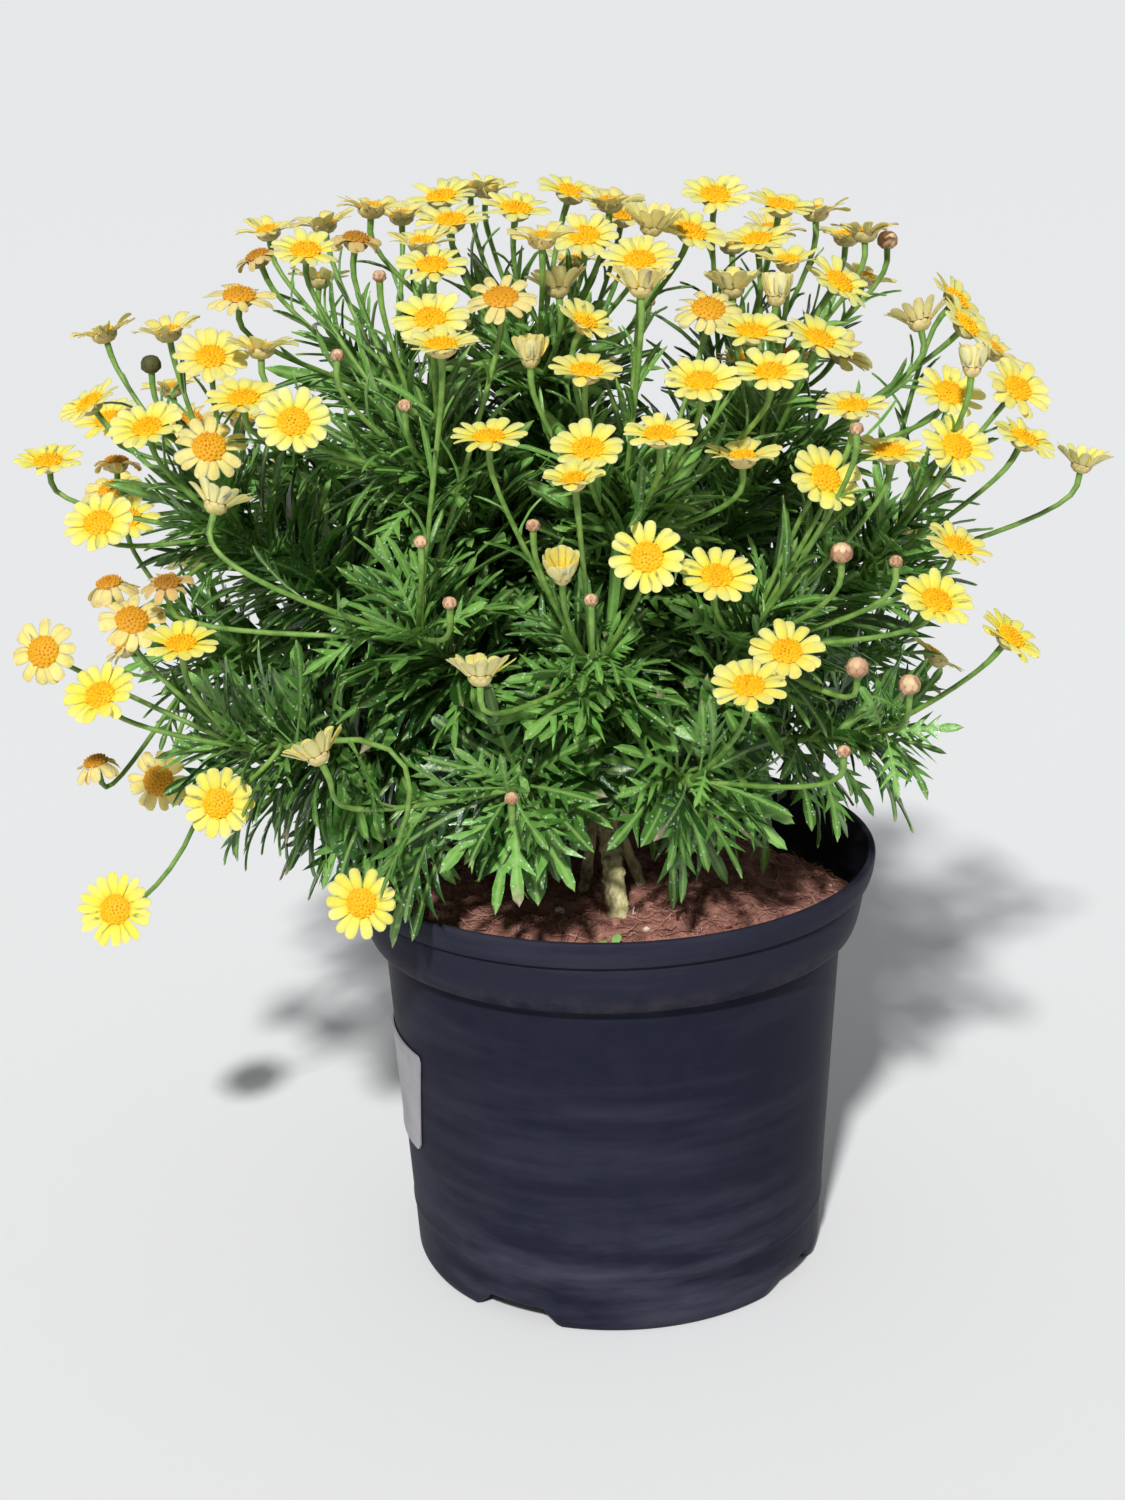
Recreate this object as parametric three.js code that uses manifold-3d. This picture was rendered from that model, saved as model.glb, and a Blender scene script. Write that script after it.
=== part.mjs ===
// A yellow marguerite daisy in a round nursery pot. Millimetres, +Z up, the origin on the
// floor under the pot's axis, the side seen first towards -Y. The woody base stands in the
// soil and carries short leafy shoots; each shoot ends in a spray of stalked flower heads.
import * as THREE from "three";
import Module from "manifold-3d";

const wasm = await Module();
wasm.setup();

// Driving dimensions.
const seam = 0.3; // clearance between neighbouring pieces
const pot = {
  rim: 110, height: 181, lip: 11, lipStep: 2, lipTaper: 3, wall: 2, collarWall: 2.5, rimWidth: 3,
  collarTop: 106, collarBend: 103.5, collarBendDrop: 26.5, collarDrop: 34, bodyTop: 95.7,
  foot: 84, footRound: 2.5, footRise: 4, standing: 4.5, standingSlope: 1.5,
  floorGap: 7, floorThickness: 2.5, bossRadius: 20, bossSlope: 2, sides: 36,
};
const bendRise = 1.5; // the collar's inner bend lies this much above its outer one
const shoulderRise = 1; // and its inner shoulder this much above its outer one
const notches = { count: 4, first: -31, span: 27, topSpan: 18, height: 8, inner: 70, outer: 95 };
const label = { from: -100, to: -60, bottom: 61, top: 108, thickness: 0.8, corner: 3 };
const soilTop = { level: 172, crownRise: 3, edgeDrop: 4, dip: 19, dipTowards: 130, dipSpread: 45 };
const trunk = {
  foot: [6, -75, 140], knee: [-1, -34, 205], aboveCrown: 6, radius: 5.2, topRadius: 4.4, sides: 5,
};
const sideStems = [
  { foot: [-16, -42, 140], radius: 2.8 },
  { foot: [24, -34, 140], radius: 2.6 },
];
const stemGap = 0.015; // share of a side stem's length that is left free under its foot
const crown = new THREE.Vector3(-5, -15, 225); // where the limbs part
const limb = { base: 3.2, tip: 2.4, length: 46, drop: 14 };
const dome = { centre: [-18, 0, 255], across: 226, front: 150, back: 170, up: 206 };
const shootRings = [
  { lift: 82, count: 1, turn: -100 },
  { lift: 60, count: 6, turn: 10 },
  { lift: 36, count: 9, turn: 0 },
  { lift: 10, count: 8, turn: 25 },
];
const shoot = {
  reach: 0.6, leftReach: 0.13, sides: 5, girth: 0.14, neck: 2.6, hub: 3.2, most: 11,
};
const leaf = {
  lengths: [0, 15, 24, 33, 52], halfWidths: [1.8, 2.3, 1.9], keels: [1.8, 1.8, 1.5],
  lobeAlong: [31, 42], lobeAside: [15, 13], lobeDrop: 1.5, sink: 6, sag: 45, sideSag: 25,
  ribRoom: 2.8, lobeRoom: 2.6, sagLength: 50,
};
const peduncle = {
  radius: 1.25, slim: 0.9, neck: 5, headLength: 16, hookLength: 9, hubLength: 12, involucre: 4.5,
  bends: [22, 50, 80, 105], slimFrom: 2, fullFrom: 6, fusedDepth: 0.3,
};
const petal = { thickness: 1.1, tipWidth: 9.4, fullReach: 15, fullCount: 6, roomShare: 0.42 };
const budDepth = 0.9; // how far a bud reaches above and below its widest ring, beside its radius
const clearance = 0.6; // least gap that leaves and heads keep when they are bent clear
const fusing = 0.2; // least gap inside a spray; a head with less is closed by itself and fused
const farOff = 100; // counted against a place that is too near to another piece
const rimRoom = { aside: 6, above: 2, soil: 6 }; // kept free round the pot's rim and over the soil

// Ways that are tried in turn until a stalk, a head or a leaf touches nothing: how far and
// to which side it is bowed, bent or turned, in millimetres and degrees, and its size.
const stalkTrials = { bows: [5, 10, 16], turns: [0, 60, 120, 180, 240, 300] };
const headTrials = { sizes: [1, 0.93, 0.86, 0.8, 0.72], spins: [0, 12, 24, 36] };
const leafTrials = { sizes: [1, 0.85, 0.7], swings: [0, 20, -20, 40, -40], leans: [0, -18, 18] };

// Kinds of flower head: reach of the ray petals, their rise above the head's own plane in
// degrees, how many are modelled, and the radius and height of the disc inside them.
const headKinds = {
  open: { reach: 13.6, rise: 14, rays: 6, disc: 6, crest: 2.2 },
  wide: { reach: 15.6, rise: 12, rays: 6, disc: 7, crest: 2.4 },
  old: { reach: 13.6, rise: 2, rays: 6, disc: 6, crest: 2.8 },
  turned: { reach: 13.4, rise: 30, rays: 6, disc: 5.6, crest: 2 },
  small: { reach: 11.4, rise: 24, rays: 6, disc: 4.8, crest: 2 },
  cup: { reach: 12.6, rise: 45, rays: 6, disc: 4.6, crest: 1.5 },
  opening: { reach: 10.8, rise: 68, rays: 6, disc: 3.5, crest: 1.5 },
  withered: { reach: 10.6, rise: 8, rays: 6, disc: 5.2, crest: 3 },
  folded: { reach: 12, rise: -30, rays: 6, disc: 4.6, crest: 3 },
  bud: { reach: 0, disc: 2.9 },
  fatBud: { reach: 0, disc: 4.6 },
  darkBud: { reach: 0, disc: 4.4 },
};

// The heads on the near side: kind, place of the head (x, y, z), and how many degrees it
// nods towards the front and sways to the right from straight up.
const nearHeads = [
  // Left flank, from the rim of the pot up
  ["wide", -206, -15, 162, 65, -5], ["open", -95, -105, 198, 70, 0], ["open", -147, -104, 239, 70, 0],
  ["old", -184, -15, 218, 70, 0], ["folded", -210, -10, 225, 5, -10], ["cup", -105, -140, 270, -12, -25],
  ["open", -190, -95, 280, 38, -12], ["old", -215, -70, 290, 60, -10], ["open", -155, -115, 305, 14, 0],
  ["old", -175, -100, 310, 35, 10], ["turned", -150, 20, 310, 10, 10], ["folded", -185, -85, 320, 5, -10],
  ["open", -195, 20, 320, 30, 5], ["withered", -160, -105, 325, 10, 0], ["old", -205, 50, 325, 22, -5],
  ["open", -190, -70, 340, 40, -5], ["withered", -200, 35, 340, -10, 0], ["open", -220, -5, 350, 12, 0],
  // Upper left
  ["cup", -140, -105, 355, -22, 15], ["open", -205, 50, 355, 20, -10], ["old", -170, 40, 355, 25, -10],
  ["turned", -145, 20, 360, -5, 5], ["turned", -180, 65, 365, -5, -10], ["old", -145, -80, 370, 45, 5],
  ["open", -170, -65, 375, 25, -5], ["open", -200, -15, 375, 15, -28], ["open", -110, -110, 385, 52, 5],
  ["open", -130, -90, 390, 17, 0], ["darkBud", -170, -45, 395, 0, 0], ["turned", -195, 0, 400, -8, -15],
  ["open", -145, -60, 400, 35, 5], ["turned", -165, -30, 405, 0, -8], ["turned", -125, -70, 405, -8, 0],
  ["bud", -95, -90, 405, 0, 5], ["turned", -115, 60, 410, -12, 5], ["old", -135, -45, 420, 15, 5],
  ["withered", -135, 20, 425, 0, -20], ["turned", -135, 60, 430, 5, -5], ["turned", -110, 40, 435, -5, -8],
  ["open", -110, -35, 435, 20, 5], ["withered", -90, -45, 440, 5, 10],
  // Crown, left of the middle
  ["turned", -50, 25, 450, -5, 0], ["open", -60, -5, 450, 12, -5], ["open", -30, -45, 450, 12, 8],
  ["turned", -85, -30, 450, -2, 5], ["open", -55, -35, 445, 14, 0], ["turned", -45, 60, 445, 2, 5],
  ["turned", -65, -55, 440, 8, 0], ["turned", -80, 60, 435, 0, 0], ["open", -60, -80, 435, 20, 0],
  ["bud", -80, -70, 430, 0, 0], ["old", -35, -95, 425, 25, 0], ["open", -60, -105, 420, 28, 0],
  ["open", -55, -130, 415, 8, 0], ["bud", -70, -110, 390, 10, 0], ["open", -40, -120, 380, 8, 0],
  ["bud", -65, -130, 345, 5, 0], ["bud", -55, -140, 325, 10, 0], ["cup", -45, -145, 300, -15, 0],
  ["bud", -35, -150, 255, 15, 0],
  // Crown and front, about the middle
  ["open", -10, 0, 450, 12, 18], ["turned", 5, -30, 450, 0, 5], ["cup", 20, -60, 445, 0, 8],
  ["turned", -20, -85, 445, 2, 0], ["open", -5, -50, 440, 28, 0], ["turned", 10, 40, 435, 12, 10],
  ["open", 15, -80, 435, 25, 0], ["cup", 15, -105, 430, -5, 0], ["cup", -15, -70, 425, -8, -5],
  ["small", -5, -90, 415, 20, 25], ["turned", -10, 60, 415, 0, 0], ["opening", -25, -100, 405, 5, 0],
  ["open", -5, -105, 400, 12, 5], ["open", 20, -145, 385, 12, 0], ["open", -5, -120, 375, 28, 0],
  ["small", -10, -145, 370, 10, -5], ["bud", -25, -130, 350, 5, 0], ["open", 15, -140, 340, 55, -5],
  ["opening", -15, -140, 335, 20, 0], ["bud", -5, -140, 325, 5, 0],
  // Right of the middle
  ["open", 45, -20, 450, 25, 5], ["open", 70, -15, 445, 10, 10], ["open", 35, -45, 440, 20, 20],
  ["turned", 85, 5, 440, -8, 0], ["open", 60, -35, 435, 12, -5], ["small", 70, -55, 430, 5, 0],
  ["turned", 70, 30, 430, 5, 10], ["turned", 55, 60, 420, -5, 0], ["cup", 50, -50, 420, -5, 0],
  ["open", 90, -45, 420, 25, 30], ["opening", 65, -70, 420, -5, 5], ["old", 40, -70, 415, 28, 5],
  ["open", 55, -90, 410, 15, 5], ["open", 80, -80, 405, 20, 20], ["open", 60, -115, 400, 18, 0],
  ["open", 35, -130, 400, 22, 0], ["small", 55, -35, 390, 0, -5], ["withered", 75, -5, 385, 15, 0],
  ["open", 90, -105, 385, 8, 0], ["turned", 50, -115, 370, 3, 0], ["open", 80, -110, 360, 45, 20],
  ["turned", 80, -15, 340, 0, -5], ["fatBud", 85, -120, 335, 5, 0], ["open", 40, -130, 330, 30, 5],
  ["open", 65, -125, 300, 35, 0], ["fatBud", 90, -130, 295, 10, 0], ["open", 50, -150, 295, 25, 0],
  ["bud", 85, -135, 265, 10, 0],
  // Right flank
  ["turned", 105, 15, 430, -10, 0], ["turned", 100, 40, 425, 0, 5], ["fatBud", 115, 25, 425, 0, 0],
  ["turned", 110, 60, 405, 0, 20], ["cup", 120, -45, 405, -20, -10], ["open", 140, 0, 405, 15, 40],
  ["open", 140, -30, 400, 20, 42], ["opening", 135, -85, 395, -5, 5], ["turned", 95, 5, 385, 20, 30],
  ["open", 130, -60, 380, 35, 15], ["bud", 90, -120, 380, 0, 0], ["open", 105, -90, 365, 10, 0],
  ["open", 130, -85, 365, 40, 15], ["open", 130, -95, 330, 18, 18], ["bud", 105, -115, 330, 0, 0],
  ["open", 120, -115, 315, 30, 15], ["open", 150, -95, 295, 20, 32], ["fatBud", 110, -120, 285, 10, 0],
  ["turned", 155, 0, 385, 10, 42], ["open", 160, -30, 375, 40, 25], ["open", 160, -50, 360, 12, 25],
  ["cup", 190, -5, 340, -5, 12],
];

// Places half way along the stalks of a few near heads, by the head's number in that list:
// these stalks hang or lean out and are seen in full.
const stalkBends = {
  0: [-178, -20, 186], 1: [-74, -119, 243], 2: [-129, -95, 251], 5: [-96, -131, 246],
  18: [-130, -118, 332],
};

// The far side carries heads on a golden-angle spiral over the same dome.
const farHeads = {
  spiral: 90, turn: 137.508, lowest: -0.12, shrink: 0.95, behind: 25, spacing: 46, facing: 0.45,
  rightShrink: 0.76, fewerRays: 1,
  kinds: ["open", "turned", "open", "old", "open", "cup", "open", "bud"],
};

const colours = {
  pot: 0x23252f, label: 0xd8d8dc, soil: 0x5a3a30, wood: 0x8b8a58, leaf: 0x2f6a33, flower: 0xf2d552,
};

const radians = (degrees) => (degrees * Math.PI) / 180;
const vector = (x, y, z) => new THREE.Vector3(x, y, z);
const up = vector(0, 0, 1);

// Direction with a compass turn (0 towards the front, positive to the right) and a lift.
function heading(turn, lift) {
  const flat = Math.cos(radians(lift));
  return vector(
    flat * Math.sin(radians(turn)),
    -flat * Math.cos(radians(turn)),
    Math.sin(radians(lift)),
  );
}

// Any unit vector square to the given one.
function squareTo(direction) {
  const other = Math.abs(direction.z) < 0.9 ? up : vector(1, 0, 0);
  return other.clone().cross(direction).normalize();
}

// A closed surface grown ring by ring. Each ring runs anticlockwise seen from its far end.
class Facets {
  points = [];
  faces = [];

  point(place) {
    return this.points.push(place.clone()) - 1;
  }

  ring(places) {
    return places.map((place) => this.point(place));
  }

  // Ring of equal sides round a centre, across the given direction.
  polygon(centre, direction, radius, sides, start) {
    const side = (start ?? squareTo(direction)).clone();
    return this.ring(
      Array.from({ length: sides }, (_, i) =>
        side.clone().applyAxisAngle(direction, (2 * Math.PI * i) / sides)
          .multiplyScalar(radius).add(centre)),
    );
  }

  // The next ring of a stalk: the last ring's corners swung from its direction to the next.
  follow(ring, centre, direction, radius) {
    const [a, b, c] = ring.map((i) => this.points[i]);
    const last = b.clone().sub(a).cross(c.clone().sub(a)).normalize();
    const swing = new THREE.Quaternion().setFromUnitVectors(last, direction);
    const middle = this.middle(ring);
    return this.ring(
      ring.map((i) =>
        this.points[i].clone().sub(middle).applyQuaternion(swing).setLength(radius).add(centre)),
    );
  }

  middle(ring) {
    const sum = ring.reduce((total, i) => total.add(this.points[i]), vector(0, 0, 0));
    return sum.divideScalar(ring.length);
  }

  face(a, b, c) {
    this.faces.push([a, b, c]);
  }

  fan(ring, tip) {
    ring.forEach((a, i) => this.face(a, ring[(i + 1) % ring.length], tip));
  }

  cap(ring, isStart) {
    for (let i = 1; i < ring.length - 1; i++) {
      if (isStart) this.face(ring[0], ring[i + 1], ring[i]);
      else this.face(ring[0], ring[i], ring[i + 1]);
    }
  }

  // Joins two rings of any length, each step taken where the corner comes first round the axis.
  bridge(low, high, axis) {
    const from = this.middle(low);
    const zero = this.points[low[0]].clone().sub(from).projectOnPlane(axis).normalize();
    const side = axis.clone().cross(zero);
    const angle = (ring, centre) => (i) => {
      const arm = this.points[ring[i % ring.length]].clone().sub(centre);
      const turn = Math.atan2(arm.dot(side), arm.dot(zero)) / (2 * Math.PI);
      return (turn + 1) % 1;
    };
    const lowAt = angle(low, from);
    const highAt = angle(high, this.middle(high));
    const away = high.map((_, i) => Math.min(highAt(i), 1 - highAt(i)));
    const first = away.indexOf(Math.min(...away));
    const upper = high.map((_, i) => high[(first + i) % high.length]);
    let i = 0;
    let j = 0;
    while (i < low.length || j < upper.length) {
      const nextLow = i === low.length - 1 ? 1 : lowAt(i + 1);
      const nextHigh = j === upper.length - 1 ? 1 : highAt((first + j + 1) % upper.length);
      const takeLow = j === upper.length || (i < low.length && nextLow <= nextHigh);
      if (takeLow) this.face(low[i], low[(i + 1) % low.length], upper[j % upper.length]);
      else this.face(low[i % low.length], upper[(j + 1) % upper.length], upper[j]);
      if (takeLow) i++;
      else j++;
    }
  }

  tube(rings) {
    this.cap(rings[0], true);
    rings.slice(1).forEach((ring, k) => this.wall(rings[k], ring));
    this.cap(rings.at(-1), false);
    return this;
  }

  wall(low, high) {
    low.forEach((a, i) => {
      const next = (i + 1) % low.length;
      this.face(a, low[next], high[next]);
      this.face(a, high[next], high[i]);
    });
  }

  solid() {
    const mesh = new wasm.Mesh({
      numProp: 3,
      vertProperties: new Float32Array(this.points.flatMap((p) => p.toArray())),
      triVerts: new Uint32Array(this.faces.flat()),
    });
    return new wasm.Manifold(mesh);
  }
}

// A three.js geometry, such as a turned or extruded shape, as a solid.
function solidOf(geometry) {
  const facets = new Facets();
  const seen = new Map();
  const place = geometry.getAttribute("position");
  const corner = (i) => {
    const p = vector(place.getX(i), place.getY(i), place.getZ(i));
    const key = p.toArray().map((v) => Math.round(v * 1000)).join();
    if (!seen.has(key)) seen.set(key, facets.point(p));
    return seen.get(key);
  };
  const order = geometry.index ? [...geometry.index.array] : [...Array(place.count).keys()];
  for (let i = 0; i < order.length; i += 3) {
    const [a, b, c] = order.slice(i, i + 3).map(corner);
    if (a !== b && b !== c && c !== a) facets.face(a, b, c);
  }
  const made = facets.solid();
  if (made.volume() > 0) return made;
  facets.faces.forEach((face) => face.reverse());
  return facets.solid();
}

// A profile of [radius, height] corners turned about the pot's axis.
function turned(profile, sides) {
  const corners = profile.map(([radius, height]) => new THREE.Vector2(radius, height));
  return solidOf(new THREE.LatheGeometry(corners, sides).rotateX(Math.PI / 2));
}

function meshOf(name, solid, colour, roughness) {
  const { vertProperties, triVerts } = solid.getMesh();
  const geometry = new THREE.BufferGeometry();
  geometry.setAttribute("position", new THREE.BufferAttribute(vertProperties, 3));
  geometry.setIndex(new THREE.BufferAttribute(triVerts, 1));
  geometry.computeVertexNormals();
  const material = new THREE.MeshStandardMaterial({ color: colour, roughness, metalness: 0 });
  const mesh = new THREE.Mesh(geometry, material);
  mesh.name = name;
  return mesh;
}

// Radius of the pot's outer body wall at a height below the collar.
function bodyRadius(height) {
  const low = pot.foot + pot.footRound;
  const share = (height - pot.footRise) / (pot.height - pot.collarDrop - pot.footRise);
  return low + (pot.bodyTop - low) * share;
}

// The pot: one thin moulded shell with a rolled lip, a wide collar, a raised floor with a
// boss under its middle, and four drain notches in the standing edge.
function makePot() {
  const lipBottom = pot.height - pot.lip;
  const bend = pot.height - pot.collarBendDrop;
  const shoulder = pot.height - pot.collarDrop;
  const floor = pot.floorGap + pot.floorThickness;
  const profile = [
    [0, 0], [pot.bossRadius, 0], [pot.bossRadius + pot.bossSlope, pot.floorGap],
    [pot.foot - pot.standing - pot.standingSlope, pot.floorGap], [pot.foot - pot.standing, 0],
    [pot.foot, 0], [pot.foot + pot.footRound, pot.footRise],
    [pot.bodyTop, shoulder], [pot.collarBend, bend], [pot.collarTop, lipBottom - pot.lipStep / 2],
    [pot.collarTop + pot.lipStep, lipBottom], [pot.rim, pot.height],
    [pot.rim - pot.rimWidth, pot.height], [pot.collarTop - pot.collarWall, lipBottom - pot.lipTaper],
    [pot.collarBend - pot.collarWall, bend + bendRise],
    [pot.bodyTop - pot.wall, shoulder + shoulderRise],
    [bodyRadius(floor) - pot.wall, floor], [0, floor],
  ];
  const halfWidth = (span) => pot.foot * Math.sin(radians(span / 2));
  const outline = new THREE.Shape([
    new THREE.Vector2(-halfWidth(notches.span), -1),
    new THREE.Vector2(halfWidth(notches.span), -1),
    new THREE.Vector2(halfWidth(notches.topSpan), notches.height),
    new THREE.Vector2(-halfWidth(notches.topSpan), notches.height),
  ]);
  let shell = turned(profile, pot.sides);
  for (let i = 0; i < notches.count; i++) {
    const cutter = new THREE.ExtrudeGeometry(outline, {
      depth: notches.outer - notches.inner, bevelEnabled: false,
    });
    cutter.rotateX(Math.PI / 2);
    cutter.translate(0, -notches.inner, 0);
    cutter.rotateZ(radians(notches.first + (360 / notches.count) * i));
    shell = shell.subtract(solidOf(cutter));
  }
  return shell;
}

// A blank paper label that lies on the wall, its faces in line with the wall's.
function makeLabel() {
  const facets = new Facets();
  const step = 360 / pot.sides;
  const rings = [];
  for (let turn = label.from; turn <= label.to; turn += step) {
    const isEnd = turn === label.from || turn === label.to;
    const trim = isEnd ? label.corner : 0;
    const corner = (height, proud) =>
      heading(turn, 0).multiplyScalar(bodyRadius(height) + proud).setZ(height);
    const near = seam;
    const far = seam + label.thickness;
    rings.push(facets.ring([
      corner(label.bottom + trim, near), corner(label.top - trim, near),
      corner(label.top - trim, far), corner(label.bottom + trim, far),
    ]));
  }
  return facets.tube(rings).solid();
}

// Height of the soil, lower round its edge and dipped towards one side.
function soilHeight(turn, share) {
  const off = ((turn - soilTop.dipTowards + 540) % 360) - 180;
  const dip = soilTop.dip * Math.exp(-((off / soilTop.dipSpread) ** 2)) * share ** 4;
  return soilTop.level + soilTop.crownRise * (1 - share) - soilTop.edgeDrop * share ** 2 - dip;
}

// Inner radius of the pot at a height in its collar.
function collarRadius(height) {
  const bend = pot.height - pot.collarBendDrop + bendRise;
  const shoulder = pot.height - pot.collarDrop + shoulderRise;
  const low = pot.bodyTop - pot.wall;
  const inner = pot.collarBend - pot.collarWall;
  const share = THREE.MathUtils.clamp((height - shoulder) / (bend - shoulder), 0, 1);
  return low + (inner - low) * share;
}

// The soil: a plug that fills the pot, with a plain hole for each stem.
function makeSoil(stems) {
  const sides = pot.sides / 2;
  const facets = new Facets();
  const turns = Array.from({ length: sides }, (_, i) => (360 / sides) * i);
  const floor = pot.floorGap + pot.floorThickness + seam;
  const shoulder = pot.height - pot.collarDrop;
  const ringAt = (place) => facets.ring(turns.map(place));
  const inner = (height) => bodyRadius(height) - pot.wall - 2 * seam;
  const level = (share) => (turn) => {
    const height = soilHeight(turn, share);
    return heading(turn, 0).multiplyScalar((collarRadius(height) - 4 * seam) * share).setZ(height);
  };
  const rings = [
    ringAt((turn) => heading(turn, 0).multiplyScalar(inner(floor)).setZ(floor)),
    ringAt((turn) => heading(turn, 0).multiplyScalar(inner(shoulder)).setZ(shoulder + shoulderRise)),
    ringAt(level(1)),
    ringAt(level(0.8)),
    ringAt(level(0.45)),
  ];
  const base = facets.point(vector(0, 0, floor));
  rings[0].forEach((a, i) => facets.face(rings[0][(i + 1) % sides], a, base));
  rings.slice(1).forEach((ring, k) => facets.wall(rings[k], ring));
  facets.fan(rings.at(-1), facets.point(vector(0, 0, soilHeight(0, 0))));
  return stems.reduce((soil, stem) => soil.subtract(stem), facets.solid());
}

// A stalk of even sides through the given places, wider or thinner along the way.
function stalk(places, radii, sides) {
  const facets = new Facets();
  const along = (k) =>
    places[Math.min(k + 1, places.length - 1)].clone().sub(places[Math.max(k - 1, 0)]).normalize();
  const rings = [facets.polygon(places[0], along(0), radii[0], sides)];
  for (let k = 1; k < places.length; k++)
    rings.push(facets.follow(rings[k - 1], places[k], along(k), radii[k]));
  return facets.tube(rings).solid();
}

// Trunk and side stems as they pass through the soil, made wider by the given room.
function stemsInSoil(room) {
  const knee = vector(...trunk.knee);
  const girth = trunk.radius + room;
  const main = stalk([vector(...trunk.foot), knee], [girth, girth], trunk.sides);
  const others = sideStems.map(({ foot, radius }) =>
    stalk([vector(...foot), crown], [radius + room, radius + room], 4));
  return [main, ...others];
}

// The woody base: the trunk, the side stems beside it, and a limb for each shoot.
function makeWoodyBase(shoots) {
  const foot = vector(...trunk.foot);
  const knee = vector(...trunk.knee);
  const bottom = foot.clone().addScaledVector(knee.clone().sub(foot).normalize(), 1);
  const head = crown.clone().addScaledVector(up, trunk.aboveCrown);
  const girths = [trunk.radius, trunk.radius, trunk.topRadius];
  let wood = stalk([bottom, knee, head], girths, trunk.sides);
  for (const { foot: low, radius } of sideStems) {
    const start = vector(...low).lerp(crown, stemGap);
    wood = wood.add(stalk([start, crown], [radius, radius], 4));
  }
  for (const { direction } of shoots) {
    const start = crown.clone().addScaledVector(up, -limb.drop * (1 - direction.z));
    const end = crown.clone().addScaledVector(direction, limb.length - 4 * seam);
    wood = wood.add(stalk([start, end], [limb.base, limb.tip], 3));
  }
  return wood;
}

// Distance from the crown to the dome of flowers in a direction.
function domeDistance(direction) {
  const centre = vector(...dome.centre);
  const depth = direction.y < 0 ? dome.front : dome.back;
  const shrink = vector(1 / dome.across, 1 / depth, 1 / dome.up);
  const from = crown.clone().sub(centre).multiply(shrink);
  const step = direction.clone().multiply(shrink);
  const [a, b, c] = [step.lengthSq(), 2 * from.dot(step), from.lengthSq() - 1];
  return (-b + Math.sqrt(b * b - 4 * a * c)) / (2 * a);
}

// The shoots, in rings from the top down, each with the heads nearest its direction, but
// none with more heads than its hub has room for.
function layOutShoots() {
  const shoots = shootRings.flatMap(({ lift, count, turn }) =>
    Array.from({ length: count }, (_, i) => {
      const direction = heading(turn + (360 / count) * i, lift);
      const reach = shoot.reach + shoot.leftReach * Math.max(0, -direction.x);
      const length = domeDistance(direction) * reach;
      return { direction, length, tip: crown.clone().addScaledVector(direction, length), heads: [] };
    }),
  );
  const pairs = allHeads().flatMap((head) => {
    const away = head.place.clone().sub(crown).normalize();
    return shoots.map((each) => ({ head, each, nearness: each.direction.dot(away) }));
  });
  const isTaken = new Set();
  for (const { head, each } of pairs.sort((a, b) => b.nearness - a.nearness)) {
    if (isTaken.has(head) || each.heads.length === shoot.most) continue;
    isTaken.add(head);
    each.heads.push(head);
  }
  return shoots;
}

function allHeads() {
  const near = nearHeads.map(([kind, x, y, z, nod, sway], i) => ({
    kind,
    halfway: stalkBends[i] && vector(...stalkBends[i]),
    place: vector(x, y, z),
    axis: vector(0, -Math.sin(radians(nod)), Math.cos(radians(nod)))
      .multiplyScalar(Math.cos(radians(sway)))
      .setX(Math.sin(radians(sway))),
  }));
  const far = [];
  for (let i = 0; i < farHeads.spiral; i++) {
    const sine = farHeads.lowest + ((1 - farHeads.lowest) * (i + 0.5)) / farHeads.spiral;
    const lift = (Math.asin(sine) * 180) / Math.PI;
    const out = heading(farHeads.turn * i, lift);
    const across = dome.across * (out.x > 0 ? farHeads.rightShrink : 1);
    const place = out.clone().multiply(vector(across, dome.back, dome.up))
      .multiplyScalar(farHeads.shrink).add(vector(...dome.centre));
    const isClear = near.every((head) => head.place.distanceTo(place) > farHeads.spacing);
    if (place.y < farHeads.behind || !isClear) continue;
    const kind = farHeads.kinds[far.length % farHeads.kinds.length];
    const axis = up.clone().lerp(out, farHeads.facing).normalize();
    far.push({ kind, place, axis, fewerRays: farHeads.fewerRays });
  }
  return [...near, ...far];
}

// Least distance between two line stretches, each given as { a, b }.
function stretchGap(one, two) {
  const d1 = one.b.clone().sub(one.a);
  const d2 = two.b.clone().sub(two.a);
  const r = one.a.clone().sub(two.a);
  const [a, e, f, c, b] = [d1.lengthSq(), d2.lengthSq(), d2.dot(r), d1.dot(r), d1.dot(d2)];
  const clamp = (v) => Math.min(1, Math.max(0, v));
  const denominator = a * e - b * b;
  let s = denominator > 1e-9 ? clamp((b * f - c * e) / denominator) : 0;
  let t = (b * s + f) / e;
  if (t < 0 || t > 1) {
    t = clamp(t);
    s = clamp((b * t - c) / a);
  }
  return r.addScaledVector(d1, s).addScaledVector(d2, -t).length();
}

// What has been placed so far, as thick stretches that later pieces keep clear of.
const placed = [];

// The least room that new stretches would have. A piece may ignore its own shoot's core, and
// comes nearer to its own spray, with which it can be fused, before it nears anything else.
function roomAround(stretches, own) {
  const room = { spray: Infinity, others: Infinity };
  for (const mine of stretches) {
    const reach = mine.a.distanceTo(mine.b) / 2;
    const middle = mine.a.clone().add(mine.b).multiplyScalar(0.5);
    for (const other of placed) {
      if (other.core !== undefined && other.core === own.core) continue;
      const near = reach + other.reach + mine.radius + other.radius + clearance;
      if (middle.distanceTo(other.middle) > near) continue;
      const gap = stretchGap(mine, other) - mine.radius - other.radius;
      const side = other.spray !== undefined && other.spray === own.spray ? "spray" : "others";
      if (side === "others" && (mine.isInner || other.isInner)) continue;
      room[side] = Math.min(room[side], gap);
    }
  }
  return room.others < clearance ? room.others - farOff : Math.min(room.spray, room.others);
}

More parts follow.
